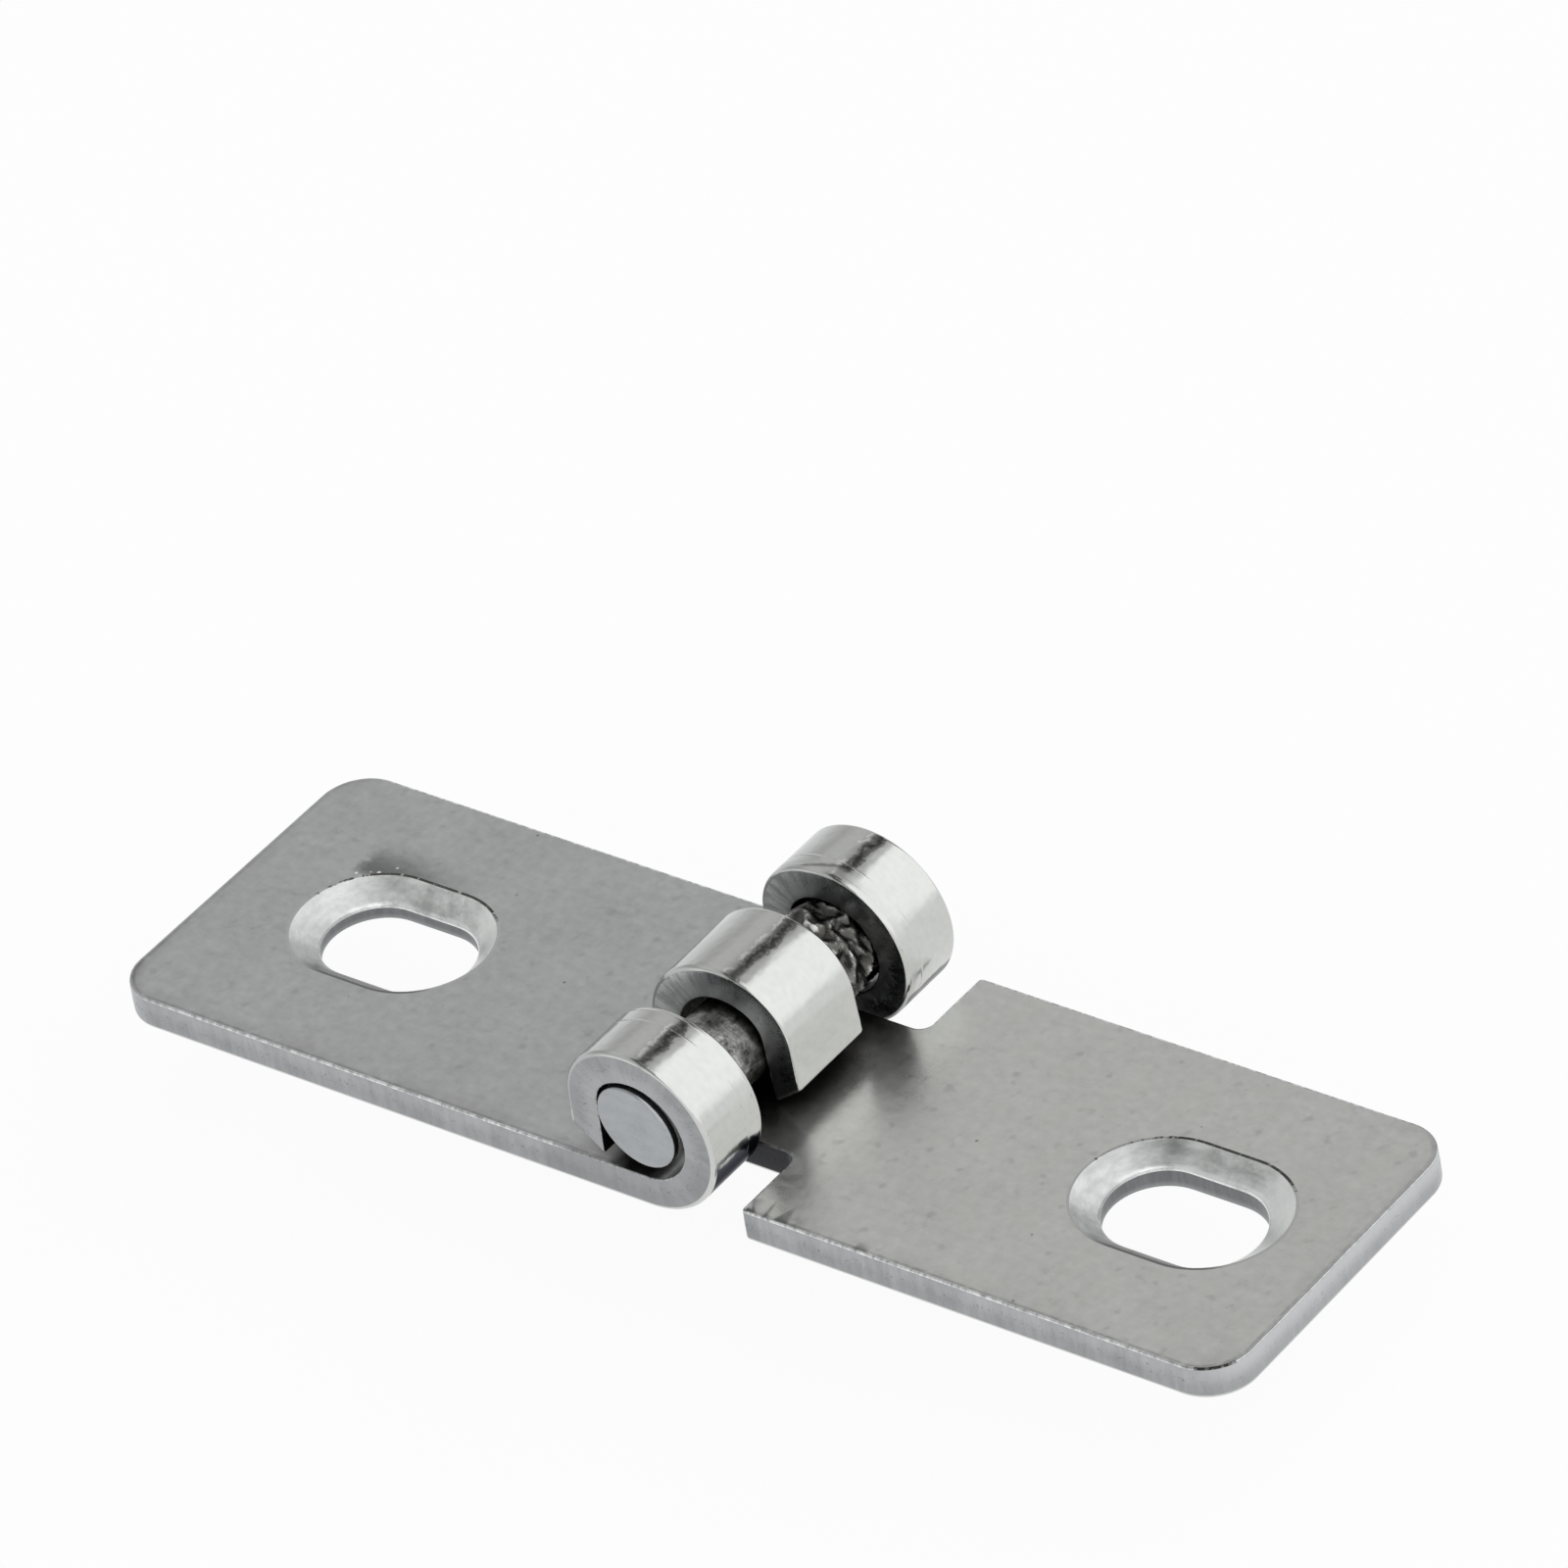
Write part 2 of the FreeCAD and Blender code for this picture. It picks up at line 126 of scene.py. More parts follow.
class Curl:
    """The bend that rolls a flat blank round the pin.

    A place on the blank is u along it, v across it and w through the sheet from its mounting side.
    """

    def __init__(self, end_gap, end_slant):
        middle = SHEET / 2
        self.last = 180 - END_LEAN
        self.axis = Vector((0, SHEET + BORE))
        self.closing_centre = self.axis + spoke(CLOSING_ANGLE) * (BORE - CLOSING_RADIUS)
        self.big_middle = BORE + middle
        self.small_middle = CLOSING_RADIUS + middle
        self.big_run = self.big_middle * math.radians(CLOSING_ANGLE + 90)
        self.small_run = self.small_middle * math.radians(self.last - CLOSING_ANGLE)
        self.along = spoke(self.last + 90)
        inner_bend = self.closing_centre + spoke(self.last) * CLOSING_RADIUS
        self.inner_run = (SHEET + end_gap - inner_bend.y) / self.along.y
        self.slant = math.tan(math.radians(end_slant))
        self.middle_run = self.inner_run - self.slant * middle
        self.end = self.big_run + self.small_run + self.middle_run

    def place(self, u, v, w):
        """Where a place on the blank comes to lie once it is rolled."""
        if u <= 0:
            return Vector((u, v, w))
        if u <= self.big_run:
            angle = math.degrees(u / self.big_middle) - 90
            spot = self.axis + spoke(angle) * (BORE + SHEET - w)
        elif u <= self.big_run + self.small_run:
            angle = CLOSING_ANGLE + math.degrees((u - self.big_run) / self.small_middle)
            spot = self.closing_centre + spoke(angle) * (CLOSING_RADIUS + SHEET - w)
        else:
            run_here = self.inner_run - self.slant * (SHEET - w)
            run = (u - self.big_run - self.small_run) * run_here / self.middle_run
            spot = self.closing_centre + spoke(self.last) * (CLOSING_RADIUS + SHEET - w) + self.along * run
        return Vector((spot.x, v, spot.y))


class Loop:
    """A closed line on the blank: places, normals away from the metal, and the length walked so far."""

    def __init__(self):
        self.spots = []
        self.normals = []

    def add(self, spot, normal):
        self.spots.append(spot)
        self.normals.append(normal)

    def lengths(self):
        """The length walked to each place, and once more back to the first."""
        walked = [0.0]
        for here, there in zip(self.spots, self.spots[1:] + self.spots[:1]):
            walked.append(walked[-1] + (there - here).length)
        return walked

    def ring(self, offset):
        """The places moved along their normals."""
        return [spot + normal * offset for spot, normal in zip(self.spots, self.normals)]


def right_of(direction):
    return Vector((direction.y, -direction.x))


def arc(loop, centre, radius, first, turn, bulge):
    """Places on an arc whose normal turns so many degrees. The bulge is -1 where the metal is outside."""
    count = max(4, math.ceil(abs(turn) / ARC_STEP * min(1, radius)))
    for step in range(count + 1):
        normal = Matrix.Rotation(math.radians(turn * step / count), 2) @ first
        loop.add(centre + normal * radius * bulge, normal)


def straight(loop, start, end):
    """Places between two ends, without the ends. On the rolled part they lie at shared stations."""
    direction = (end - start).normalized()
    normal = right_of(direction)
    if abs(direction.x) > abs(direction.y) and max(start.x, end.x) > 0:
        low, high = sorted((start.x, end.x))
        flat = max(0, int(-low / EDGE_STEP))
        stations = [k * CURL_STEP for k in range(math.ceil((high - CURL_STEP / 4) / CURL_STEP))]
        marks = [low * (flat - k) / (flat + 1) for k in range(flat)] + [u for u in stations if low < u]
        marks.sort(reverse=direction.x < 0)
        for u in marks:
            loop.add(Vector((u, start.y)), normal)
        return
    count = int((end - start).length / EDGE_STEP)
    for step in range(1, count + 1):
        loop.add(start + (end - start) * step / (count + 1), normal)


def outline(corners):
    """The loop round a blank through rounded corners, each of them u, v and a radius, anticlockwise."""
    loop = Loop()
    spots = [Vector((u, v)) for u, v, _ in corners]
    radii = [radius for *_, radius in corners]
    for index, here in enumerate(spots):
        following = (index + 1) % len(spots)
        coming = (here - spots[index - 1]).normalized()
        going = (spots[following] - here).normalized()
        side = 1 if coming.cross(going) > 0 else -1
        centre = here - (coming + right_of(coming) * side) * radii[index]
        arc(loop, centre, radii[index], right_of(coming), 90 * side, side)
        straight(loop, here + going * radii[index], spots[following] - going * radii[following])
    return loop


class Slot:
    """A countersunk screw slot as it was struck, in the blank's own directions.

    The countersink spreads so far past the throat, shifted a little. The throat is higher by the tilt where
    v is greatest, and lower by as much where v is least.
    """

    def __init__(self, middle, spread, throat, tilt=0.0, shift=(0.0, 0.0)):
        self.spread = spread
        self.throat = throat
        self.tilt = tilt
        self.shift = Vector(shift)
        self.loop = Loop()
        for side in (1, -1):
            centre = Vector((middle + SLOT_HALF_RUN * side, 0))
            other = Vector((middle - SLOT_HALF_RUN * side, 0))
            first = Vector((0, -side))
            arc(self.loop, centre, SLOT_RADIUS, first, -180, -1)
            straight(self.loop, centre + first * SLOT_RADIUS, other + first * SLOT_RADIUS)

    def profile(self):
        """Offsets and heights up the slot: throat, its rounded lip and the countersink."""
        turn = math.atan2(self.spread, SHEET - self.throat)
        setback = LIP_RADIUS * math.tan(turn / 2)
        steps = [(0.0, 0.0), (0.0, (self.throat - setback) / 2)]
        for share in (0.0, 0.2, 0.4, 0.6, 0.8, 1.0):
            lean = turn * share
            height = self.throat - setback + LIP_RADIUS * math.sin(lean)
            steps.append((LIP_RADIUS * (math.cos(lean) - 1), height))
        cone = [(-self.spread * share, self.throat + (SHEET - self.throat) * share)
                for share in (0.3, 0.5, 0.7, 0.9, 0.985)]
        return steps + cone

    def rings(self, maker, curl):
        """The places up the slot, one ring for each step of its profile."""
        rings = []
        for offset, height in self.profile():
            up_cone = (height - self.throat) / (SHEET - self.throat)
            slide = self.shift * max(0.0, up_cone)
            lift = self.tilt * min(height / self.throat, 1 - up_cone) / SLOT_RADIUS
            ring = []
            for spot, normal in zip(self.loop.spots, self.loop.normals):
                place = spot + normal * offset + slide
                ring.append(maker.add(curl.place(place.x, place.y, height + lift * spot.y)))
            rings.append(ring)
        return rings

    def rim_loop(self):
        """The loop at the countersink's rim, before it is spread."""
        moved = Loop()
        for spot, normal in zip(self.loop.spots, self.loop.normals):
            moved.add(spot + self.shift, normal)
        return moved


def placed(name, data):
    """A new object in the scene."""
    thing = bpy.data.objects.new(name, data)
    bpy.context.collection.objects.link(thing)
    return thing


class MeshMaker:
    """Collects the places, faces, materials and map places of one mesh."""

    def __init__(self):
        self.places = []
        self.faces = []
        self.looks = []
        self.maps = []

    def add(self, place):
        self.places.append(place)
        return len(self.places) - 1

    def face(self, corners, look, spots):
        self.faces.append(corners)
        self.looks.append(look)
        self.maps.extend(spots)

    def wall(self, rings, walked, heights, look_of):
        """Four-sided faces between rings of places. The rings run from the mounting side up."""
        count = len(rings[0])
        for level, (low, high) in enumerate(zip(rings, rings[1:])):
            for index in range(count):
                following = (index + 1) % count
                corners = (low[index], low[following], high[following], high[index])
                start, end = walked[index], walked[index + 1]
                bottom, top = heights[level], heights[level + 1]
                spots = ((start, bottom), (end, bottom), (end, top), (start, top))
                self.face(corners, look_of(level, start), spots)

    def build(self, name, materials, crease):
        """The finished object, in metres, with smooth shading between the creases."""
        mesh = bpy.data.meshes.new(name)
        mesh.from_pydata([place * MM for place in self.places], [], self.faces)
        layer = mesh.uv_layers.new(name="blank")
        layer.data.foreach_set("uv", np.array(self.maps, dtype=np.float32).ravel())
        for material in materials:
            mesh.materials.append(material)
        mesh.polygons.foreach_set("material_index", self.looks)
        mesh.polygons.foreach_set("use_smooth", [True] * len(self.faces))
        mesh.validate()
        mesh.set_sharp_from_angle(angle=math.radians(crease))
        piece = placed(name, mesh)
        weighted = piece.modifiers.new("face_normals", "WEIGHTED_NORMAL")
        weighted.keep_sharp = True
        return piece


def is_inside(spots, ring):
    """Which of the spots lie inside a closed ring."""
    ring = np.array([tuple(place) for place in ring])
    following = np.roll(ring, -1, axis=0)
    inside = np.zeros(len(spots), dtype=bool)
    for (x0, y0), (x1, y1) in zip(ring, following):
        if y0 == y1:
            continue
        crosses = (spots[:, 1] > min(y0, y1)) & (spots[:, 1] <= max(y0, y1))
        reach = x0 + (spots[:, 1] - y0) * (x1 - x0) / (y1 - y0)
        inside ^= crosses & (spots[:, 0] < reach)
    return inside


def face_points(rim, hole):
    """A loose triangular grid of places inside the flat part of a sheet face."""
    rows = []
    row_height = FACE_STEP * math.sqrt(3) / 2
    for row in range(int(2 * HALF_WIDTH / row_height) + 1):
        shift = FACE_STEP / 2 * (row % 2)
        for column in range(int(LEAF_LENGTH / FACE_STEP) + 1):
            rows.append((-LEAF_LENGTH + shift + column * FACE_STEP, -HALF_WIDTH + row * row_height))
    spots = np.array(rows)
    spots = spots[is_inside(spots, rim) & ~is_inside(spots, hole)]
    border = np.array([tuple(place) for place in rim + hole])
    away = np.array([np.hypot(*(border - spot).T).min() for spot in spots])
    return [Vector(spot) for spot in spots[(away > FACE_STEP / 2) & (spots[:, 0] < -CURL_STEP)]]


def strip_pairs(rim):
    """Pairs of places that face each other across a knuckle's strip."""
    stations = {}
    for index, spot in enumerate(rim):
        station = spot.x / CURL_STEP
        if station > -0.01 and abs(station - round(station)) < 0.001:
            stations.setdefault(round(station), []).append(index)
    pairs = []
    for members in stations.values():
        members.sort(key=lambda index: rim[index].y)
        if len(members) % 2 == 0:
            pairs.extend(zip(members[::2], members[1::2]))
    return pairs


def cap(maker, curl, rim_ring, hole_ring, rim, hole, w, look, pairs):
    """A sheet face between the outline and the slot. The pairs keep the rolled strips in even bands."""
    inner = face_points(rim, hole)
    spots = rim + hole + inner
    numbers = rim_ring + hole_ring + [maker.add(curl.place(spot.x, spot.y, w)) for spot in inner]
    edges = [(k, (k + 1) % len(rim)) for k in range(len(rim))]
    edges += [(len(rim) + k, len(rim) + (k + 1) % len(hole)) for k in range(len(hole))]
    edges += pairs
    _, _, triangles, sources, _, _ = delaunay_2d_cdt(spots, edges, [], 1, 1e-5)
    corners = [[sources[k][0] for k in triangle] for triangle in triangles]
    centres = np.array([tuple(sum((spots[k] for k in triangle), Vector((0, 0))) / 3)
                        for triangle in corners])
    kept = is_inside(centres, rim) & ~is_inside(centres, hole)
    for triangle, keep in zip(corners, kept):
        if keep:
            order = triangle if w else triangle[::-1]
            maker.face([numbers[k] for k in order], look, [tuple(spots[k]) for k in order])


def burr_height(length, seed):
    """The uneven height of the burr, between nothing and one."""
    coarse = noise.noise(Vector((length * 0.35, seed, 0)))
    fine = noise.noise(Vector((length * 2.3, seed, 5)))
    return min(1.0, max(0.0, 0.45 + coarse * 0.7 + fine * 0.6))


def outer_profile():
    """Offsets and heights up the punched edge: rounded foot, sheared band, torn band."""
    angles = [math.pi / 2 * step / ROUNDING_STEPS for step in range(ROUNDING_STEPS + 1)]
    steps = [(ROUNDING * (math.sin(angle) - 1), ROUNDING * (1 - math.cos(angle))) for angle in angles]
    return steps + [(0.0, 0.65), (0.0, 1.1), (-0.012, 1.25), (-0.02, 1.6), (-TORN_DEPTH, SHEET - RIM_RADIUS)]


def outer_rim():
    """Offsets, heights and shares of the burr over the softly rounded upper rim."""
    steps = []
    for degrees in (22.5, 45.0, 67.5, 90.0):
        angle = math.radians(degrees)
        offset = -TORN_DEPTH - RIM_RADIUS * (1 - math.cos(angle))
        steps.append((offset, SHEET - RIM_RADIUS * (1 - math.sin(angle)), math.sin(angle)))
    return steps + [(-TORN_DEPTH - RIM_RADIUS - RIM_FOOT, SHEET, 0.0)]


def coined_rim(spread):
    """Offsets, heights and shares of the burr over a countersink's coined rim."""
    return [(-spread, SHEET, 1.0), (-spread - COINED_FOOT, SHEET, 0.0)]


def rings_of(maker, curl, loop, profile):
    return [[maker.add(curl.place(spot.x, spot.y, w)) for spot in loop.ring(offset)]
            for offset, w in profile]


def profile_lengths(profile):
    """The length walked up a profile and its rim."""
    walked = [0.0]
    for (d0, w0, *_), (d1, w1, *_) in zip(profile, profile[1:]):
        walked.append(walked[-1] + math.hypot(d1 - d0, w1 - w0))
    return walked


def burr_share(spot, turned):
    """How much of the burr stands here: all at the near side, some at the right end, little elsewhere."""
    if spot.x > 0:
        return 0.3
    x, y = (-spot.x, -spot.y) if turned else (spot.x, spot.y)
    near_side = min(1.0, max(0.0, -y / HALF_WIDTH))
    right_end = 0.45 if x > LEAF_LENGTH - CORNER_RADIUS else 0.0
    return max(near_side ** 2, right_end, 0.12)


def rim_rings(maker, curl, loop, walked, rim, seed, turned):
    """The rings over a rim, with the thin, uneven burr that a punch raises along the knuckle side."""
    rings = []
    for offset, height, share in rim:
        ring = []
        for spot, normal, length in zip(loop.spots, loop.normals, walked):
            raised = share * burr_share(spot, turned)
            sway = BURR_WOBBLE * raised * noise.noise(Vector((length * 2.7, seed, 9)))
            place = spot + normal * (offset + sway)
            rise = BURR_HEIGHT * raised * burr_height(length, seed)
            ring.append(maker.add(curl.place(place.x, place.y, height + rise)))
        rings.append(ring)
    return rings


def scar_lengths(loop, walked):
    """Where the scar on the outer corner's rim starts and ends, as lengths walked round the blank."""
    centre = Vector((CORNER_RADIUS - LEAF_LENGTH, HALF_WIDTH - CORNER_RADIUS))
    ends = [centre + spoke(angle) * CORNER_RADIUS for angle in SCAR_ANGLES]
    nearest = [min(range(len(loop.spots)), key=lambda index: (loop.spots[index] - end).length)
               for end in ends]
    return sorted(walked[index] for index in nearest)


def make_leaf(name, corners, slot, curl, seed, materials, turned):
    """A leaf: its blank with punched edges and countersunk slot, rolled round the pin."""
    loop = outline([(curl.end if u is None else u, v, radius) for u, v, radius in corners])
    maker = MeshMaker()

    edge_profile, edge_rim = outer_profile(), outer_rim()
    walked = loop.lengths()
    rings = rings_of(maker, curl, loop, edge_profile)
    upper_rings = rim_rings(maker, curl, loop, walked, edge_rim, seed, turned)
    heights = profile_lengths(edge_profile + edge_rim)
    scar_start, scar_end = scar_lengths(loop, walked) if turned else (0.0, 0.0)

    def edge_look(level, length):
        if level < ROUNDING_STEPS:
            return MOUNTING_SIDE
        if level < len(rings) - 1:
            return EDGE
        return SCAR if scar_start <= length < scar_end else BURR

    maker.wall(rings + upper_rings, walked, heights, edge_look)

    profile, rim = slot.profile(), coined_rim(slot.spread)
    rim_loop = slot.rim_loop()
    slot_walked = slot.loop.lengths()
    slot_rings = slot.rings(maker, curl)
    slot_upper_rings = rim_rings(maker, curl, rim_loop, slot_walked, rim, seed + 3, turned)
    slot_heights = profile_lengths(profile + rim)

    def slot_look(level, _):
        if level < 2:
            return THROAT_WALL
        return COUNTERSINK if level < len(slot_rings) - 1 else RIM

    maker.wall(slot_rings + slot_upper_rings, slot_walked, slot_heights, slot_look)

    low_rim, low_hole = loop.ring(edge_profile[0][0]), slot.loop.spots
    cap(maker, curl, rings[0], slot_rings[0], low_rim, low_hole, 0, MOUNTING_SIDE, strip_pairs(low_rim))
    high_rim, high_hole = loop.ring(edge_rim[-1][0]), rim_loop.ring(rim[-1][0])
    cap(maker, curl, upper_rings[-1], slot_upper_rings[-1], high_rim, high_hole, SHEET, KNUCKLE_SIDE,
        strip_pairs(high_rim))

    if turned:
        maker.places = [Vector((-place.x, -place.y, place.z)) for place in maker.places]
    return maker.build(name, materials, LEAF_CREASE)


def mirrored(upper):
    """A blank's corners from those of its upper half. None stands for its strip's end."""
    return [(u, -v, radius) for u, v, radius in reversed(upper)] + upper


def two_knuckle_corners():
    """The blank with two outer strips."""
    return mirrored([
        (-SHOULDER, HALF_WINDOW, INNER_CORNER),
        (-LEG_STEP, HALF_WINDOW, STEP_CORNER),
        (-LEG_STEP, HALF_OPENING, INNER_CORNER),
        (None, HALF_OPENING, SMALL_CORNER),
        (None, HALF_WIDTH, SMALL_CORNER),
        (-LEAF_LENGTH, HALF_WIDTH, CORNER_RADIUS),
    ])


def one_knuckle_corners():
    """The blank with one middle strip on a tongue."""
    return mirrored([
        (None, HALF_KNUCKLE, SMALL_CORNER),
        (-TONGUE_STEP, HALF_KNUCKLE, INNER_CORNER),
        (-TONGUE_STEP, HALF_TONGUE, SMALL_CORNER),
        (-SHOULDER, HALF_TONGUE, NOTCH_CORNER),
        (-SHOULDER, HALF_WIDTH, SMALL_CORNER),
        (-LEAF_LENGTH, HALF_WIDTH, CORNER_RADIUS),
    ])


def crumpled_radius(angle, y):
    """The pin's radius in its staked stretch: torn, folded metal with ridges that grip the knuckle."""
    spot = Vector((math.cos(angle) * PIN_RADIUS, y, math.sin(angle) * PIN_RADIUS))
    folds = 1 - abs(noise.noise(spot * 0.75 + Vector((4, 2, 9)))) * 2.6
    lumps = noise.noise(spot * 1.5 + Vector((1, 8, 3)))
    grit = noise.noise(spot * 4.5)
    ends = min(1.0, max(0.0, (y - STAKED_START) / 0.3)) * min(1.0, max(0.0, (STAKED_END - y) / 0.3))
    height = (0.1 + 0.42 * folds + 0.3 * lumps + 0.07 * grit) * ends
    return PIN_RADIUS - 0.02 + min(RIDGE_CREST - PIN_RADIUS, max(-0.05, height))


def pin_centre(y):
    """The pin's middle line, which leans a little in its wide bore from the staking to the near end."""
    share = max(0.0, (STAKED_START - y) / (STAKED_START + PIN_HALF_LENGTH))
    return Vector((PIN_LEAN[0] * share, y, SHEET + BORE + PIN_LEAN[1] * share))


def pin_oval(angle, y):
    """What the near end's oval shape adds to the pin's radius. It came from shearing the wire off."""
    share = min(1.0, max(0.0, (PIN_OVAL_END - y) / (PIN_OVAL_END + PIN_HALF_LENGTH)))
    return PIN_OVAL * share * math.cos(2 * (angle - math.radians(PIN_OVAL_ANGLE)))


def pin_sections():
    """The pin's sections from its far end to its near one: place, radius and material."""
    shank_end, end_radius = PIN_HALF_LENGTH - PIN_EDGE, PIN_RADIUS - PIN_EDGE
    end = [(PIN_HALF_LENGTH - PIN_END_DOME * share ** 2, end_radius * share) for share in (0.3, 0.6, 0.85)]
    for degrees in range(90, -1, -15):
        angle = math.radians(degrees)
        end.append((shank_end + PIN_EDGE * math.sin(angle), end_radius + PIN_EDGE * math.cos(angle)))
    stretches = ((SHANK, np.linspace(-shank_end, STAKED_START, 50)[1:]),
                 (STAKED, np.linspace(STAKED_START, STAKED_END, 60)[1:]),
                 (SHANK, np.linspace(STAKED_END, shank_end, 8)[1:-1]))
    sections = [(-y, radius, PIN_END) for y, radius in end]
    sections += [(y, PIN_RADIUS, kind) for kind, places in stretches for y in places]
    sections += [(y, radius, PIN_END) for y, radius in reversed(end)]
    return sections[::-1]


def make_pin(materials):
    """The loose pin: rounded ends, a plain shank and the staked stretch."""
    maker = MeshMaker()
    rings, heights = [], []
    sections = pin_sections()
    for y, radius, kind in sections:
        ring = []
        for index in range(PIN_SIDES):
            angle = 2 * math.pi * index / PIN_SIDES
            reach = crumpled_radius(angle, y) if kind == STAKED else radius
            reach += pin_oval(angle, y) * reach / PIN_RADIUS
            spot = Vector((reach * math.cos(angle), 0, reach * math.sin(angle)))
            ring.append(maker.add(pin_centre(y) + spot))
        rings.append(ring)
        past_edge = math.copysign(PIN_HALF_LENGTH + PIN_RADIUS - radius, y)
        heights.append(past_edge if kind == PIN_END else y)
    walked = [2 * math.pi * PIN_RADIUS * index / PIN_SIDES for index in range(PIN_SIDES + 1)]
    maker.wall(rings, walked, heights, lambda level, _: sections[level + 1][2])
    for ring, y, step in ((rings[0], PIN_HALF_LENGTH, -1), (rings[-1], -PIN_HALF_LENGTH, 1)):
        middle = maker.add(pin_centre(y))
        for index in range(PIN_SIDES):
            corners = (ring[index], ring[(index + 1) % PIN_SIDES], middle)
            spots = ((walked[index], y), (walked[index + 1], y), (0, y))
            maker.face(corners[::step], PIN_END, spots[::step])
    return maker.build("pin_with_staked_end", materials, PIN_CREASE)


class Look:
    """One material or world, with short calls that add its nodes and join them.

    Lengths are in millimetres: x, y and z in the object's frame, u and v on the blank. On an edge or the
    pin, u is the length walked round it and v the height or length along it.
    """

    def __init__(self, name, kind="materials"):
        self.owner = getattr(bpy.data, kind).new(name)
        self.owner.use_nodes = True
        self.tree = self.owner.node_tree
        self.tree.nodes.clear()
        places = self.node("TexCoord").outputs
        self.solid = self.stretched(places["Object"], 1 / MM, 1 / MM, 1 / MM)
        self.x, self.y, self.z = self.parts(self.solid)
        self.blank = places["UV"]
        self.u, self.v, _ = self.parts(self.blank)

    def node(self, kind, inputs=(), **settings):
        node = self.tree.nodes.new("ShaderNode" + kind)
        for key, value in settings.items():
            setattr(node, key, value)
        for key, value in dict(inputs).items():
            if isinstance(value, bpy.types.NodeSocket):
                self.tree.links.new(value, node.inputs[key])
            else:
                node.inputs[key].default_value = value
        return node

    def parts(self, vector):
        """The three numbers of a place."""
        return self.node("SeparateXYZ", {0: vector}).outputs[:3]

    def stretched(self, vector, x, y, z=1.0):
        return self.node("VectorMath", {0: vector, 1: (x, y, z)}, operation="MULTIPLY").outputs[0]

    def noise(self, scale, detail=2.0, rough=0.5, place=None):
        """Noise on the blank, or over another place."""
        inputs = {"Vector": place or self.blank, "Scale": scale, "Detail": detail, "Roughness": rough}
        return self.node("TexNoise", inputs).outputs[0]

    def grain(self, x, y, detail=2.0, rough=0.5, z=1.0, place=None):
        """Noise with its own fineness in each direction."""
        return self.noise(1.0, detail, rough, self.stretched(place or self.blank, x, y, z))

    def math(self, operation, first, second=0.0):
        return self.node("Math", {0: first, 1: second}, operation=operation).outputs[0]

    def plus(self, first, second):
        return self.math("ADD", first, second)

    def minus(self, first, second):
        return self.math("SUBTRACT", first, second)

    def times(self, first, *others):
        for other in others:
            first = self.math("MULTIPLY", first, other)
        return first

    def most(self, first, second=0.0):
        return self.math("MAXIMUM", first, second)

    def size(self, value):
        """The value without its sign."""
        return self.math("ABSOLUTE", value)

    def long_side(self, first, second):
        """The long side of a triangle with a square corner between these two."""
        squares = self.plus(self.math("POWER", first, 2.0), self.math("POWER", second, 2.0))
        return self.math("SQRT", squares)

    def span(self, value, low, high, start=0.0, end=1.0):
        """A soft step from one value to another."""
        inputs = {"Value": value, 1: low, 2: high, 3: start, 4: end}
        return self.node("MapRange", inputs, interpolation_type="SMOOTHSTEP").outputs[0]

    def fall(self, value, low, high):
        """A soft step from one down to nothing."""
        return self.span(value, low, high, 1.0, 0.0)

    def band(self, value, middle, half_width, softness):
        """One inside a band and nothing outside it."""
        distance = self.size(self.minus(value, middle))
        return self.fall(distance, half_width - softness, half_width + softness)

    def total(self, start, *terms):
        """A start plus each signal's swing about one half, times its weight."""
        result = start
        for signal, weight in terms:
            inputs = {0: self.plus(signal, -0.5), 1: weight, 2: result}
            result = self.node("Math", inputs, operation="MULTIPLY_ADD").outputs[0]
        return result

    def mix(self, factor, first, second):
        return self.node("Mix", {"Factor": factor, 2: first, 3: second}).outputs[0]

    def colours(self, factor, first, second):
        inputs = {"Factor": factor, 6: self.opaque(first), 7: self.opaque(second)}
        return self.node("Mix", inputs, data_type="RGBA").outputs[2]

    def opaque(self, colour):
        return colour if isinstance(colour, bpy.types.NodeSocket) else (*colour, 1.0)

    def over(self, colour, *coats):
        """A colour with coats painted over it, each as far as the product of its shares says."""
        for paint, *shares in coats:
            colour = self.colours(self.times(*shares), colour, paint)
        return colour

    def dots(self, vector, scale, radius):
        """Small round dots of uneven size, about one in every other cell."""
        cells = self.node("TexVoronoi", {"Vector": vector, "Scale": scale}).outputs
        size = self.times(self.parts(cells["Color"])[0], radius)
        return self.fall(self.minus(cells["Distance"], size), -radius / 2, 0.0)

    def angle_round_pin(self):
        """The angle about the pin, in degrees from the open leaf's direction."""
        return self.math("DEGREES", self.math("ARCTAN2", self.minus(self.z, SHEET + BORE), self.x))

    def with_painted_shade(self, colour, reach, strength, closed, free):
        """A colour with painted shade where other metal stands close."""
        open_share = self.node("AmbientOcclusion", {"Distance": reach * MM}, samples=12).outputs["AO"]
        return self.over(colour, (PAINTED_SHADE, self.fall(open_share, closed, free), strength))

    def steel(self, colour, rough, height, depth, edge_tint=(1.0, 1.0, 1.0, 1.0)):
        """Bare metal with its colour, roughness and relief, and its tint where it is seen edge on."""
        bump = self.node("Bump", {"Height": height, "Distance": depth * MM, "Strength": 1.0}).outputs[0]
        inputs = {"Base Color": colour, "Metallic": 1.0, "Roughness": rough, "Normal": bump,
                  "Specular Tint": edge_tint}
        shader = self.node("BsdfPrincipled", inputs)
        self.node("OutputMaterial", {"Surface": shader.outputs[0]})
        return self.owner


def sheet_signals(look):
    """What every sheet face shares: blotches, mottling, speckle, rolling grain and small pits."""
    return (look.noise(0.16, 3.0, 0.55), look.noise(1.4), look.noise(3.0, 0.0),
            look.grain(0.3, 2.4), look.dots(look.blank, 0.42, 0.06))


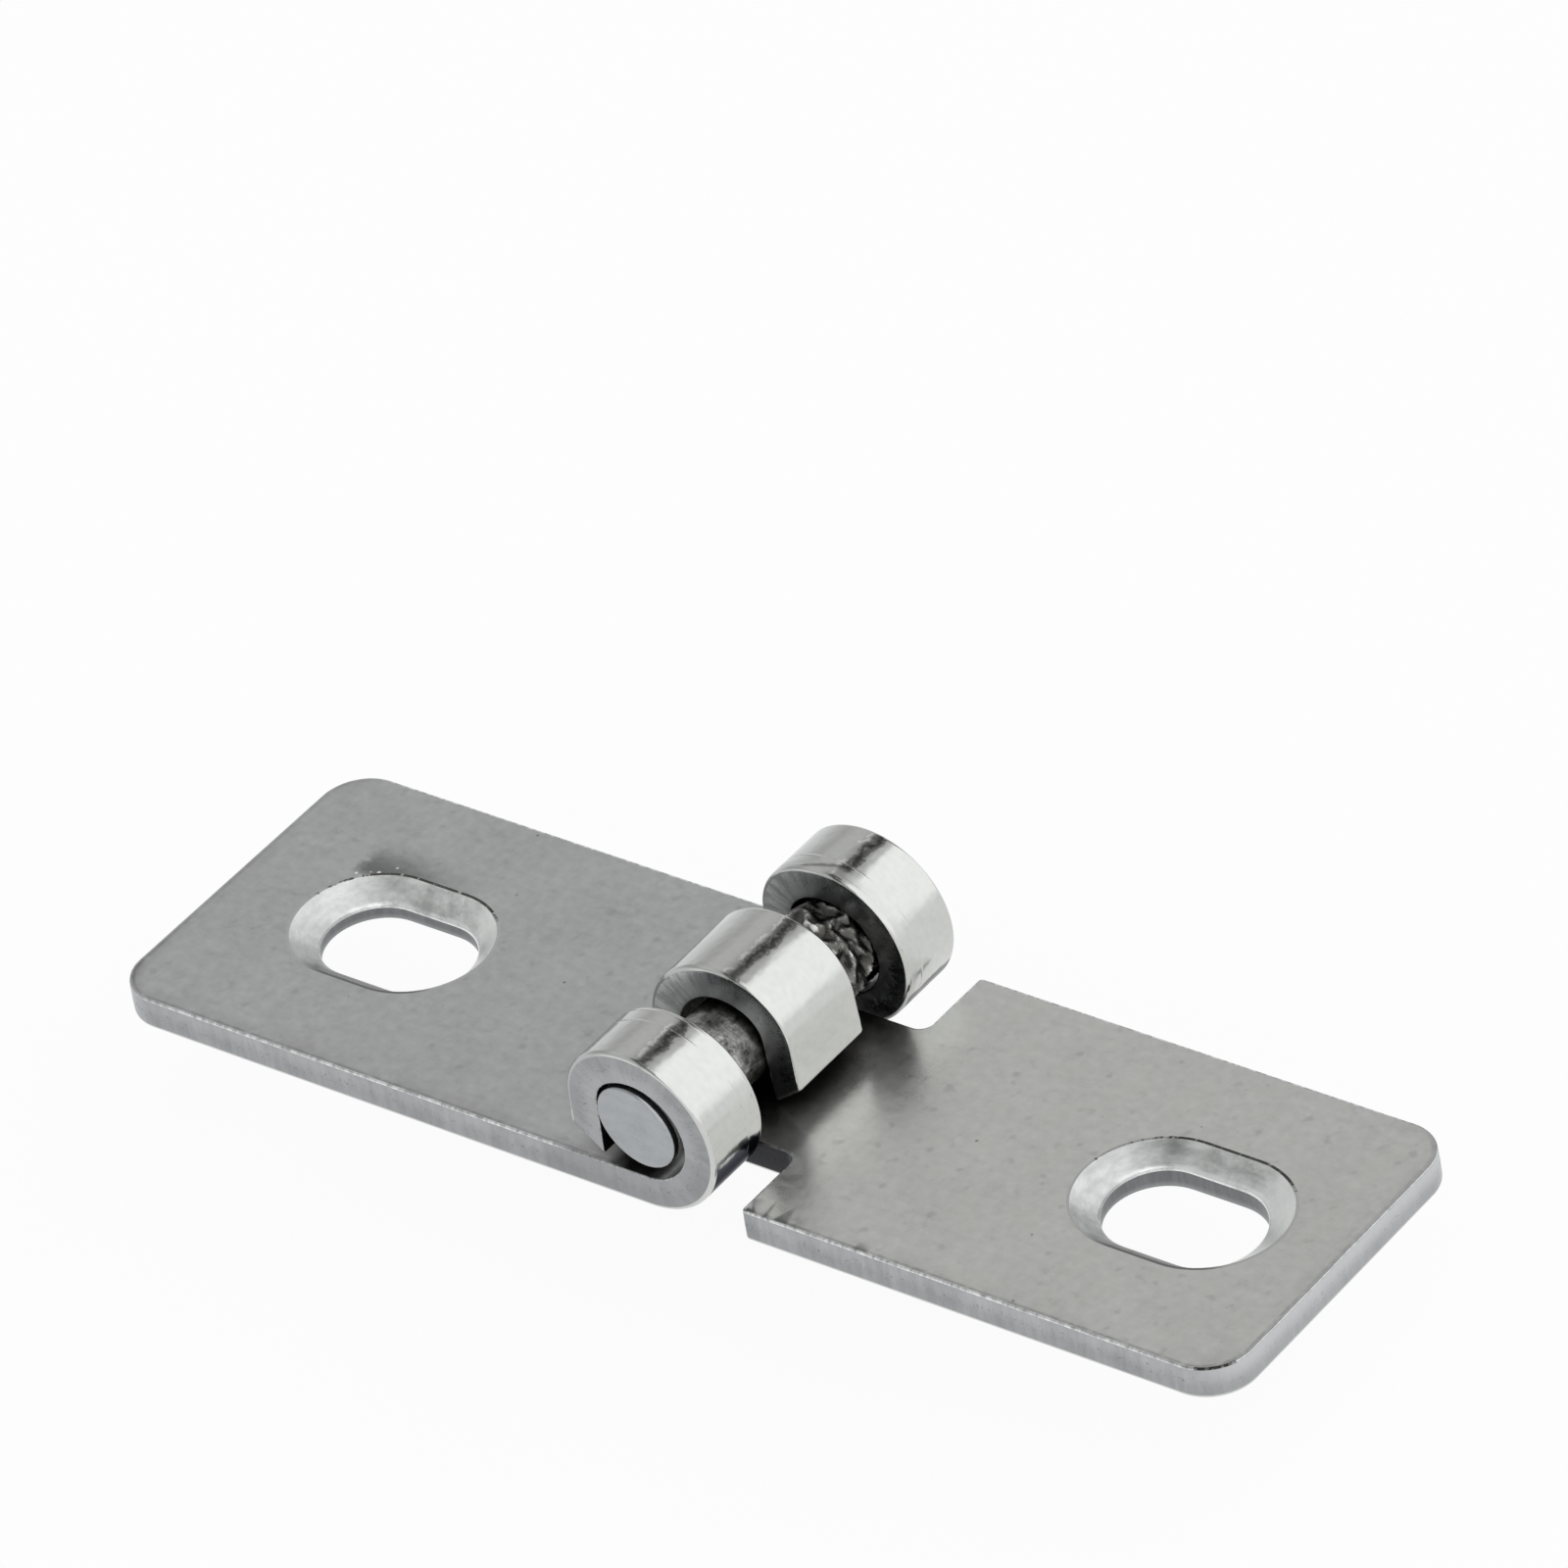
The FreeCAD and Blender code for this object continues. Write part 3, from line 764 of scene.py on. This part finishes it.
def rim_shade(look):
    """The painted shade on the face just inside the burr: a ragged darker line and a broad patchy band."""
    past_side = look.most(look.minus(look.size(look.v), HALF_WIDTH - CORNER_RADIUS))
    past_end = look.most(look.minus(CORNER_RADIUS - LEAF_LENGTH, look.u))
    from_rim = look.minus(CORNER_RADIUS, look.long_side(past_side, past_end))
    ragged = look.grain(1.6, 1.6, 3.0, 0.6)
    line = look.times(look.band(from_rim, 0.27, 0.1, 0.07), look.span(ragged, 0.3, 0.6, 0.5, 2.0))
    patchy = look.span(look.noise(0.25, 3.0, 0.6), 0.36, 0.64)
    shade = look.plus(line, look.times(look.fall(from_rim, 0.3, 1.5), patchy))
    right_end = look.span(past_end, 0.0, 2.0, 0.0, 0.6)
    return look.times(shade, look.most(look.fall(look.y, -6.0, 0.0), right_end))


def slot_dark_patch(look):
    """The dark patch beside the left slot's countersink, darkest at its rim."""
    ragged = look.grain(1.3, 1.6, 4.0, 0.7, MM, look.solid)
    along = look.total(look.x, (ragged, 2.0))
    length_share = look.times(look.span(along, PATCH_START, PATCH_START + 1.0),
                              look.fall(along, PATCH_CORE_END, PATCH_END))
    from_rim = look.minus(look.y, SLOT_RADIUS + 1.0)
    height_share = look.fall(look.total(from_rim, (ragged, 1.2)), 0.0, PATCH_REACH)
    return look.times(length_share, look.math("POWER", height_share, 1.6), look.span(from_rim, -1.2, -0.2))


def slot_sparks(look):
    """The scatter of small bright specks at the dark patch's left end, painted highlights."""
    past_end = look.minus(look.x, SLOT_FROM_END_TWO - LEAF_LENGTH - SLOT_HALF_RUN)
    from_rim = look.minus(look.long_side(past_end, look.y), SLOT_RADIUS + 1.4)
    dots = look.dots(look.stretched(look.solid, 1.0, 1.0, 0.0), 2.6, 0.42)
    return look.times(dots, look.fall(from_rim, 0.5, 1.3), look.band(past_end, -3.1, 1.4, 0.6),
                      look.span(look.y, 0.0, 0.5))


def flat_sheet(name, dark, light, tint, dark_patched=False):
    """The satin, mottled face of the sheet on its knuckle side, with painted shade inside the roll, beside
    the outer knuckles and where metal stands close.
    """
    look = Look(name)
    blotches, mottling, speckle, grain, pits = sheet_signals(look)
    clouds = look.span(look.noise(1.1, 1.0), 0.62, 0.78)
    stain = look.span(look.grain(0.5, 0.35, 3.0), 0.45, 0.7)
    tone = look.total(0.5, (blotches, 0.7), (mottling, 1.0), (speckle, 0.18), (grain, 0.3))
    colour = look.over(look.colours(tone, dark, light), ((0.25, 0.25, 0.25), clouds, 0.26),
                       (tint, stain, 0.22), ((0.12, 0.12, 0.115), pits, 0.6),
                       ((0.2, 0.2, 0.195), rim_shade(look), 0.22))
    # The dark patch by the left slot, with painted highlights at its left end
    if dark_patched:
        patch_colour = (0.14, 0.142, 0.142)
        colour = look.over(colour, (patch_colour, slot_dark_patch(look), 0.8), (PAINTED_GLINT, slot_sparks(look)))
    # Painted shade where metal stands close, inside the roll and under the outer knuckles' strip ends
    colour = look.with_painted_shade(colour, 3.5, look.span(look.u, 0.0, 1.5, 0.88, 0.5), 0.2, 0.8)
    by_outer_knuckle = look.span(look.size(look.v), HALF_OPENING - 0.4, HALF_OPENING)
    colour = look.over(colour, (PAINTED_SHADE, look.span(look.u, 0.0, 1.5, 0.0, 0.3)),
                       (PAINTED_SHADE, look.band(look.u, -1.2, 1.4, 0.5), by_outer_knuckle, 0.72))
    rough = look.total(0.29, (blotches, 0.1), (mottling, 0.08))
    height = look.total(0.5, (grain, 0.2), (mottling, 0.7))
    return look.steel(colour, rough, height, 0.016)


def die_streak(look, from_rim):
    """The ragged, dark line near the top of each knuckle: partly the mark that the rolling die left, partly
    a painted dark reflection.
    """
    ragged = look.grain(1.3, 1.5, 5.0, 0.7)
    wander = look.grain(0.0, 0.45, 1.0)
    place = look.total(look.angle_round_pin(), (wander, 8.0), (ragged, 14.0))
    gaps = look.span(look.grain(0.2, 0.7), 0.36, 0.5, 0.25, 1.0)
    ahead = look.most(look.span(from_rim, 0.8, 1.2), look.fall(from_rim, -1.5, -1.0))
    streak = look.times(look.band(place, STREAK_ANGLE, 2.4, 2.4), gaps, ahead)
    return look.most(streak, streak_hook(look, from_rim))


def streak_hook(look, from_rim):
    """The part of the back knuckle's streak that turns along that knuckle's near rim."""
    ragged = look.grain(2.2, 2.2, 3.0, 0.7)
    past_streak = look.minus(look.angle_round_pin(), STREAK_ANGLE)
    place = look.plus(look.total(from_rim, (ragged, 0.35)), look.times(past_streak, 0.031))
    return look.times(look.band(place, 1.1, 0.13, 0.14), look.span(past_streak, -3.0, 1.0),
                      look.fall(past_streak, 28.0, 33.0))


def streak_glint(look):
    """The broken bright line that runs beside the streak."""
    ragged = look.grain(1.3, 1.5, 5.0, 0.7)
    place = look.total(look.angle_round_pin(), (ragged, 14.0))
    gaps = look.span(look.grain(0.3, 0.7), 0.46, 0.56)
    return look.times(look.band(place, STREAK_ANGLE + 6.0, 0.8, 1.2), gaps)


def painted_flank_reflection(look):
    """The painted dark reflection low on the outer knuckles, deeper and wider on the near one."""
    ragged = look.grain(0.6, 0.9, 3.0, 0.6)
    place = look.total(look.angle_round_pin(), (ragged, 7.0))
    place = look.plus(place, look.span(look.v, -1.0, 1.0, 0.0, 13.0))
    outer = look.span(look.size(look.v), HALF_OPENING - 0.4, HALF_OPENING - 0.2)
    return look.times(look.fall(place, -14.0, -9.5), look.span(place, -80.0, -60.0), outer,
                      look.span(look.v, -1.0, 1.0, 0.93, 0.6))


def rolled_sheet(name):
    """The mounting side, satin where it is flat and drawn smooth where it is rolled, with painted shade,
    highlights and dark reflections on the roll.
    """
    look = Look(name)
    blotches, mottling, speckle, grain, pits = sheet_signals(look)
    rolled = look.span(look.u, -0.5, 2.5)
    from_rim = look.minus(look.v, HALF_OPENING)
    drawn = look.grain(1.1, 0.12, 3.0, 0.55)
    scuffs = look.grain(0.12, 3.2, 3.0, 0.6)
    waves = look.grain(0.8, 0.5)
    streak = look.times(die_streak(look, from_rim), rolled)
    flank_reflection = look.times(painted_flank_reflection(look), rolled)
    tone = look.total(0.5, (blotches, 0.7), (mottling, 0.7), (speckle, 0.6), (drawn, 0.4))
    flat_colour = look.colours(tone, (0.47, 0.48, 0.48), (0.62, 0.63, 0.63))
    curl_colour = look.colours(tone, (0.55, 0.558, 0.543), (0.63, 0.64, 0.62))
    # Painted shade on the roll's top, on the leaf's side
    shaded_leaf_side = look.span(look.angle_round_pin(), 96.0, 116.0)
    curl_colour = look.over(curl_colour, ((0.3, 0.312, 0.32), shaded_leaf_side, 0.5))
    # Pits, the painted highlight beside the streak, the streak that is partly painted dark reflection, and
    # the painted dark reflection low on the flanks
    colour = look.over(look.colours(rolled, flat_colour, curl_colour), ((0.25, 0.25, 0.24), pits, 0.2),
                       (PAINTED_GLINT, streak_glint(look), rolled, 0.8), ((0.06, 0.058, 0.054), streak, 0.65),
                       ((0.11, 0.112, 0.124), flank_reflection))
    # The edge tint darkens grazing reflections in the same painted band
    edge_tint = look.colours(flank_reflection, (1.0, 1.0, 1.0), (0.22, 0.222, 0.235))
    colour = look.with_painted_shade(colour, 4.0, 0.9, 0.25, 0.75)
    matt = look.total(0.27, (blotches, 0.12), (mottling, 0.12), (speckle, 0.1))
    shiny = look.total(0.15, (drawn, 0.06), (mottling, 0.12), (speckle, 0.03))
    dulled = look.times(look.span(from_rim, -0.5, 0.0), look.fall(from_rim, 0.6, 1.1), 0.16)
    rough = look.mix(rolled, matt, look.plus(shiny, dulled))
    matt_height = look.total(0.5, (speckle, 0.2), (grain, 0.6), (mottling, 1.4))
    across = look.size(look.v)
    wide, narrow = DIE_LINES
    lines = look.plus(look.band(across, wide, 0.04, 0.05), look.band(across, narrow, 0.03, 0.04))
    shiny_height = look.total(0.5, (drawn, 0.6), (scuffs, 0.2), (waves, 2.0), (mottling, 0.25), (lines, 0.8),
                              (streak, -0.5))
    return look.steel(colour, rough, look.mix(rolled, matt_height, shiny_height), 0.018, edge_tint)


def punched_edge(name):
    """The punched edge: a torn, grainy band over a sheared, faintly striped one, with painted shade by and
    below the roll, and painted light on the right end and on the knuckle ends by the pin.
    """
    look = Look(name)
    from_pin, from_middle = look.size(look.x), look.size(look.y)
    stripes = look.grain(2.2, 0.35, 5.0, 0.65)
    broad = look.grain(0.45, 0.3)
    torn_grain = look.grain(4.5, 3.5, 3.0, 0.7)
    wavy = look.total(look.v, (look.grain(0.9, 0.0, 4.0), 1.3))
    torn = look.span(wavy, 0.9, 1.7)
    chips = look.times(look.band(wavy, 1.25, 0.32, 0.2), look.span(torn_grain, 0.56, 0.68))
    tone = look.total(0.5, (stripes, 1.3), (broad, 0.8), (torn_grain, 0.5))
    sheared = look.colours(tone, (0.245, 0.255, 0.265), (0.415, 0.427, 0.437))
    broken = look.colours(tone, (0.32, 0.33, 0.34), (0.49, 0.5, 0.51))
    # Painted light on the right end's edge, more of it higher up
    lit_right_end = look.span(from_pin, LEAF_LENGTH - 2.0, LEAF_LENGTH)
    on_roll = look.fall(from_pin, 6.8, 7.4)
    by_axis = look.fall(from_pin, SHOULDER, SHOULDER + 0.3)
    inside = look.fall(from_middle, HALF_OPENING + 0.1, HALF_OPENING + 0.3)
    # Painted light on the knuckle ends by the pin, on their left part
    painted_light_patch = look.times(inside, by_axis, look.fall(look.x, -4.5, 0.5), look.span(stripes, 0.4, 0.6, 0.35, 1.0))
    colour = look.over(look.colours(torn, sheared, broken), ((0.13, 0.13, 0.13), chips, 0.6),
                       ((0.66, 0.675, 0.68), lit_right_end, look.span(look.z, 0.4, 1.9, 0.16, 0.62)),
                       ((0.2, 0.205, 0.21), on_roll, look.span(look.z, 1.0, 7.0, 0.34, 0.05)),
                       ((0.95, 0.95, 0.94), painted_light_patch, 0.75))
    colour = look.with_painted_shade(colour, 5.5, 0.8, 0.0, 0.7)
    # Deep painted shade on the edges just below the roll
    below_roll = look.times(by_axis, look.fall(look.z, SHEET, SHEET + 0.4))
    colour = look.over(colour, (DEEP_PAINTED_SHADE, below_roll, look.span(from_middle, 7.8, 8.5, 0.95, 0.0)))
    rough = look.total(look.span(torn, 0.0, 1.0, 0.28, 0.36), (stripes, 0.16), (torn_grain, 0.12))
    height = look.total(0.5, (stripes, 1.2), (torn_grain, 0.5), (chips, -0.6))
    return look.steel(colour, rough, height, 0.018)


def burr_steel(name):
    """The thin, bright line of metal that the punch pushed up, darker near the roll and greyer at the leaf
    ends, with painted shade where metal stands close.
    """
    look = Look(name)
    from_pin = look.size(look.x)
    bits = look.grain(2.4, 1.0, 4.0, 0.65)
    gone = look.span(look.grain(0.6, 0.0, 3.0), 0.56, 0.74)
    bright = look.colours(look.span(bits, 0.35, 0.62), (0.45, 0.455, 0.46), (0.9, 0.905, 0.91))
    bright = look.over(bright, ((0.44, 0.445, 0.45), look.span(from_pin, 34.0, 36.0), 0.75),
                       ((0.16, 0.162, 0.165), look.span(from_pin, 5.0, 6.5, 0.6, 0.0)))
    colour = look.with_painted_shade(look.colours(gone, bright, (0.36, 0.36, 0.36)), 3.0, 0.9, 0.2, 0.8)
    return look.steel(colour, look.total(0.32, (bits, 0.2)), bits, 0.01)


def throat_steel(name):
    """The slot's throat, faintly striped by the punch, painted dark as shade and lighter at its foot."""
    look = Look(name)
    stripes = look.grain(2.6, 0.5, 4.0, 0.65)
    # Painted shade: a dark base colour in place of the dark that the throat reflects
    colour = look.colours(stripes, (0.1, 0.105, 0.11), (0.27, 0.28, 0.29))
    colour = look.over(colour, ((0.5, 0.51, 0.52), look.fall(look.v, 0.0, 0.35), 0.35))
    return look.steel(colour, look.total(0.38, (stripes, 0.2)), stripes, 0.02)


def countersink_steel(name, middle, throat):
    """The pressed countersink, satin with small scars, with painted shade at its near side and left part,
    painted light to the right and a painted highlight on the far lip.
    """
    look = Look(name)
    along = look.minus(look.x, middle)
    rings = look.grain(0.22, 2.6, 3.0, 0.55)
    scars = look.grain(0.9, 1.3, 4.0, 0.65)
    speckle = look.noise(4.5)
    patches = look.noise(0.55, 3.0, 0.6)
    tone = look.total(0.5, (rings, 0.5), (scars, 2.2), (patches, 2.0), (speckle, 0.3))
    colour = look.colours(tone, (0.47, 0.486, 0.476), (0.83, 0.845, 0.835))
    # Painted light on the right part
    painted_light_right = look.span(look.total(along, (scars, 3.0)), 1.0, 4.5)
    # Painted shade on the near side
    near_side = look.times(look.span(look.y, -3.6, -2.8, 0.85, 0.0), look.span(along, -3.5, -1.5))
    # Painted highlight on the far lip
    lip = look.times(look.fall(look.v, throat + 0.1, throat + 0.3), look.span(look.y, 0.0, 3.0, 0.0, 0.8),
                     look.span(scars, 0.4, 0.55, 0.35, 1.0))
    # Painted light to the right, painted shade on the left part and near side, painted highlight on the lip
    colour = look.over(colour, (PAINTED_HIGHLIGHT, painted_light_right, 0.7),
                       ((0.36, 0.372, 0.365), look.span(along, -4.5, -1.5, 0.36, 0.0)),
                       ((0.08, 0.08, 0.078), near_side), (PAINTED_HIGHLIGHT, lip))
    rough = look.total(0.42, (rings, 0.12), (scars, 0.2), (patches, 0.3))
    height = look.total(0.5, (rings, 0.6), (scars, 1.2), (patches, 3.0))
    return look.steel(colour, rough, height, 0.014)


def rim_steel(name, middle, line_start, faded):
    """The countersink's rim, with a ragged dark line along its far side and painted shade at its near side.

    The line dies away to the right, and it is faded by so much left of its start.
    """
    look = Look(name)
    bits = look.grain(3.2, 1.0, 3.0, 0.65)
    along = look.minus(look.x, middle)
    far_side = look.span(look.minus(look.y, look.times(along, 0.3)), 0.0, 3.2, -0.5, 0.16)
    left_part = look.span(along, line_start - 1.333, line_start, -faded, 0.0)
    dark_share = look.span(look.plus(look.plus(bits, far_side), left_part), 0.46, 0.6)
    colour = look.colours(dark_share, (0.56, 0.57, 0.56), (0.09, 0.09, 0.085))
    # Painted shade on the near side
    near_side = look.times(look.span(look.y, -4.0, -3.0, 0.8, 0.0), look.span(along, -3.667, -1.333))
    colour = look.over(colour, ((0.13, 0.13, 0.127), near_side))
    return look.steel(colour, look.total(0.35, (bits, 0.2)), bits, 0.01)


def scar_steel(name):
    """The dark fold on one corner's rim."""
    look = Look(name)
    bits = look.grain(3.0, 3.0, 3.0, 0.7)
    colour = look.colours(look.span(bits, 0.45, 0.65), (0.035, 0.035, 0.033), (0.3, 0.3, 0.3))
    return look.steel(colour, look.total(0.5, (bits, 0.3)), bits, 0.03)


def pin_shank(name):
    """The drawn pin's side, dark and smeared, lighter by its near end, with painted shade where other metal
    stands close.
    """
    look = Look(name)
    drawn = look.grain(2.2, 0.4, 4.0, 0.65)
    smears = look.grain(0.7, 0.8, 5.0, 0.7)
    near_end = look.fall(look.v, 1.0 - PIN_HALF_LENGTH, 2.0 - PIN_HALF_LENGTH)
    tone = look.total(0.5, (drawn, 1.2), (smears, 3.4))
    colour = look.colours(tone, (0.07, 0.068, 0.062), (0.62, 0.62, 0.6))
    colour = look.over(colour, ((0.86, 0.87, 0.86), near_end))
    colour = look.with_painted_shade(colour, 3.0, look.minus(0.85, look.times(near_end, 0.8)), 0.15, 0.65)
    rough = look.plus(look.total(0.34, (smears, 0.3)), look.times(near_end, 0.35))
    height = look.total(0.5, (drawn, 0.8), (smears, 1.4))
    return look.steel(colour, rough, height, 0.06)


def pin_end(name):
    """The pin's cut end, satin with faint shear lines."""
    look = Look(name)
    lines = look.grain(0.35, 1.0, 4.0, 0.6, 1.6, look.solid)
    cloud = look.noise(0.6, 3.0, 0.6, look.solid)
    speckle = look.noise(5.0, 3.0, 0.65, look.solid)
    tone = look.total(0.5, (cloud, 1.0), (lines, 0.9), (speckle, 0.7))
    colour = look.colours(tone, (0.315, 0.33, 0.34), (0.445, 0.46, 0.475))
    rough = look.total(0.3, (cloud, 0.14), (speckle, 0.12))
    height = look.total(0.5, (lines, 1.2), (cloud, 1.6), (speckle, 0.4))
    return look.steel(colour, rough, height, 0.018)


def staked_steel(name):
    """The torn metal of the staking, with painted highlights on its crests and painted shade in its folds
    and where metal stands close.
    """
    look = Look(name)
    crumbs = look.noise(1.9, 4.0, 0.7)
    # Painted highlights on the crests, found from the mesh's pointiness
    crest_highlight = look.span(look.node("NewGeometry").outputs["Pointiness"], 0.49, 0.58)
    raised = look.times(crest_highlight, look.span(crumbs, 0.42, 0.62, 0.2, 1.0))
    colour = look.colours(raised, (0.085, 0.083, 0.077), (0.62, 0.62, 0.6))
    colour = look.with_painted_shade(colour, 2.5, 0.85, 0.25, 0.85)
    return look.steel(colour, look.total(0.27, (crumbs, 0.25)), crumbs, 0.06)


def stand_in(piece, node, body):
    """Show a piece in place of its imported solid."""
    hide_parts(node)
    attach(piece, body)


def make_hinge():
    """Both leaves and the pin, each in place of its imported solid."""
    shared = [rolled_sheet("rolled_sheet"), punched_edge("punched_edge"), burr_steel("burr"),
              throat_steel("slot_throat")]
    scar = scar_steel("corner_scar")

    def leaf_looks(side, face, middle, slot, line_start, faded):
        countersink = countersink_steel(side + "_countersink", middle, slot.throat)
        rim = rim_steel(side + "_countersink_rim", middle, line_start, faded)
        return [face, *shared, countersink, rim, scar]

    left_face = flat_sheet("left_sheet", (0.42, 0.43, 0.424), (0.62, 0.63, 0.623), (0.5, 0.525, 0.535), True)
    left_middle = SLOT_FROM_END_TWO - LEAF_LENGTH
    left_slot = Slot(left_middle, 1.38, 0.8, tilt=0.06, shift=(-0.08, -0.1))
    left_looks = leaf_looks("left", left_face, left_middle, left_slot, -4.0, 0.15)
    two = make_leaf("leaf_with_outer_knuckles", two_knuckle_corners(), left_slot,
                    Curl(OUTER_END_GAP, OUTER_END_SLANT), 1.0, left_looks, False)
    stand_in(two, "two_knuckle_leaf", "fixed_leaf")

    right_face = flat_sheet("right_sheet", (0.55, 0.551, 0.534), (0.745, 0.746, 0.726), (0.66, 0.66, 0.6))
    right_middle = LEAF_LENGTH - SLOT_FROM_END_ONE
    right_slot = Slot(-right_middle, 1.5, 1.0, tilt=-0.28, shift=(0.0, -0.06))
    right_looks = leaf_looks("right", right_face, right_middle, right_slot, -3.0, 0.21)
    one = make_leaf("leaf_with_centre_knuckle", one_knuckle_corners(), right_slot,
                    Curl(CENTRE_END_GAP, CENTRE_END_SLANT), 2.0, right_looks, True)
    stand_in(one, "one_knuckle_leaf", "turning_leaf")

    pin = make_pin([pin_shank("pin_shank"), pin_end("pin_end"), staked_steel("pin_staking")])
    stand_in(pin, "hinge_pin", "fixed_leaf")


# Camera, in millimetres and degrees
CAMERA_TARGET = (-15.849, 22.420, 0.0)
CAMERA_AZIMUTH = 42.716
CAMERA_ELEVATION = 36.157
CAMERA_ROLL = -10.4805
CAMERA_DISTANCE = 614.289
CAMERA_LENS = 252.605


def make_camera():
    """The photo's long lens, seen from the front right and turned a little."""
    around, rise, roll = (math.radians(angle) for angle in (CAMERA_AZIMUTH, CAMERA_ELEVATION, CAMERA_ROLL))
    back = Vector((math.sin(around) * math.cos(rise), -math.cos(around) * math.cos(rise), math.sin(rise)))
    level = Vector((math.cos(around), math.sin(around), 0))
    above = back.cross(level)
    right = level * math.cos(roll) + above * math.sin(roll)
    up = back.cross(right)
    data = bpy.data.cameras.new("photo_camera")
    data.lens = CAMERA_LENS
    data.clip_start = 0.05
    data.clip_end = 20
    camera = placed("photo_camera", data)
    camera.matrix_world = Matrix.Translation((Vector(CAMERA_TARGET) + back * CAMERA_DISTANCE) * MM) @ Matrix(
        (right, up, back)).transposed().to_4x4()
    bpy.context.scene.camera = camera


# Studio
FLOOR_DROP = 8.4
FLOOR_HALF_SIZE = 3.0
FLOOR_TINTS = ((0.86, 0.86, 0.86), (0.88, 0.88, 0.88))
FLOOR_CLOUD_SCALE = 0.03
FLOOR_WHITE_SHARE = 0.93
# Soft lights as long strips beside the pin: how far round they lie, in degrees from the open leaf,
# and how strong they are. They have to run from 0 to 180.
LIGHT_STRIPS = {
    0: 0.93, 14: 1.34, 83: 1.36, 88: 0.66, 96: 0.6, 100: 0.12, 109: 0.08,
    114: 0.45, 122: 0.62, 130: 0.66, 140: 0.64, 152: 0.52, 162: 0.64, 180: 1.0,
}


def make_floor():
    """A wide, pale floor below the hinge, white behind it, with the hinge's soft shadow."""
    look = Look("pale_floor")
    cloud = look.noise(FLOOR_CLOUD_SCALE, place=look.solid)
    tint = look.colours(cloud, *FLOOR_TINTS)
    matt = look.node("BsdfDiffuse", {"Color": tint}).outputs[0]
    white = look.node("Emission", {"Color": (1, 1, 1, 1), "Strength": 1.0}).outputs[0]
    rays = look.node("LightPath").outputs
    seen = look.most(look.most(rays["Is Camera Ray"], rays["Is Glossy Ray"]), rays["Is Transmission Ray"])
    mixed = look.node("MixShader", {0: look.times(seen, FLOOR_WHITE_SHARE), 1: matt, 2: white}).outputs[0]
    look.node("OutputMaterial", {"Surface": mixed})
    mesh = bpy.data.meshes.new("floor")
    corners = [(x * FLOOR_HALF_SIZE, y * FLOOR_HALF_SIZE, -FLOOR_DROP * MM)
               for x, y in ((-1, -1), (1, -1), (1, 1), (-1, 1))]
    mesh.from_pydata(corners, [], [(0, 1, 2, 3)])
    mesh.materials.append(look.owner)
    floor = placed("floor", mesh)


def make_light():
    """Soft light from long strips beside the pin, as the bands on the rolled knuckles show."""
    look = Look("studio", "worlds")
    bpy.context.scene.world = look.owner
    x, _, z = look.parts(look.node("TexCoord").outputs["Generated"])
    ramp = look.node("ValToRGB", {0: look.math("DIVIDE", look.math("ARCTAN2", z, x), math.pi)})
    points = ramp.color_ramp.elements
    for angle in list(LIGHT_STRIPS)[1:-1]:
        points.new(angle / 180)
    for point, strength in zip(points, LIGHT_STRIPS.values()):
        point.color = (strength, strength, strength, 1)
    background = look.node("Background", {"Color": ramp.outputs[0], "Strength": 1.0})
    look.node("OutputWorld", {"Surface": background.outputs[0]})


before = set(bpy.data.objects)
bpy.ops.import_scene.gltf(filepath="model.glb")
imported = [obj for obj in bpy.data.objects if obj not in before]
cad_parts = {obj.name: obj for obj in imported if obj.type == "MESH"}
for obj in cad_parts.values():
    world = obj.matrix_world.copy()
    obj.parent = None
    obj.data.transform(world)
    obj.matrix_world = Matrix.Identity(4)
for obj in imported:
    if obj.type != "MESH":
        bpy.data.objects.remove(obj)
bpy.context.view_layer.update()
make_hinge()
make_floor()
make_light()
make_camera()
bpy.context.scene.view_settings.view_transform = "Standard"
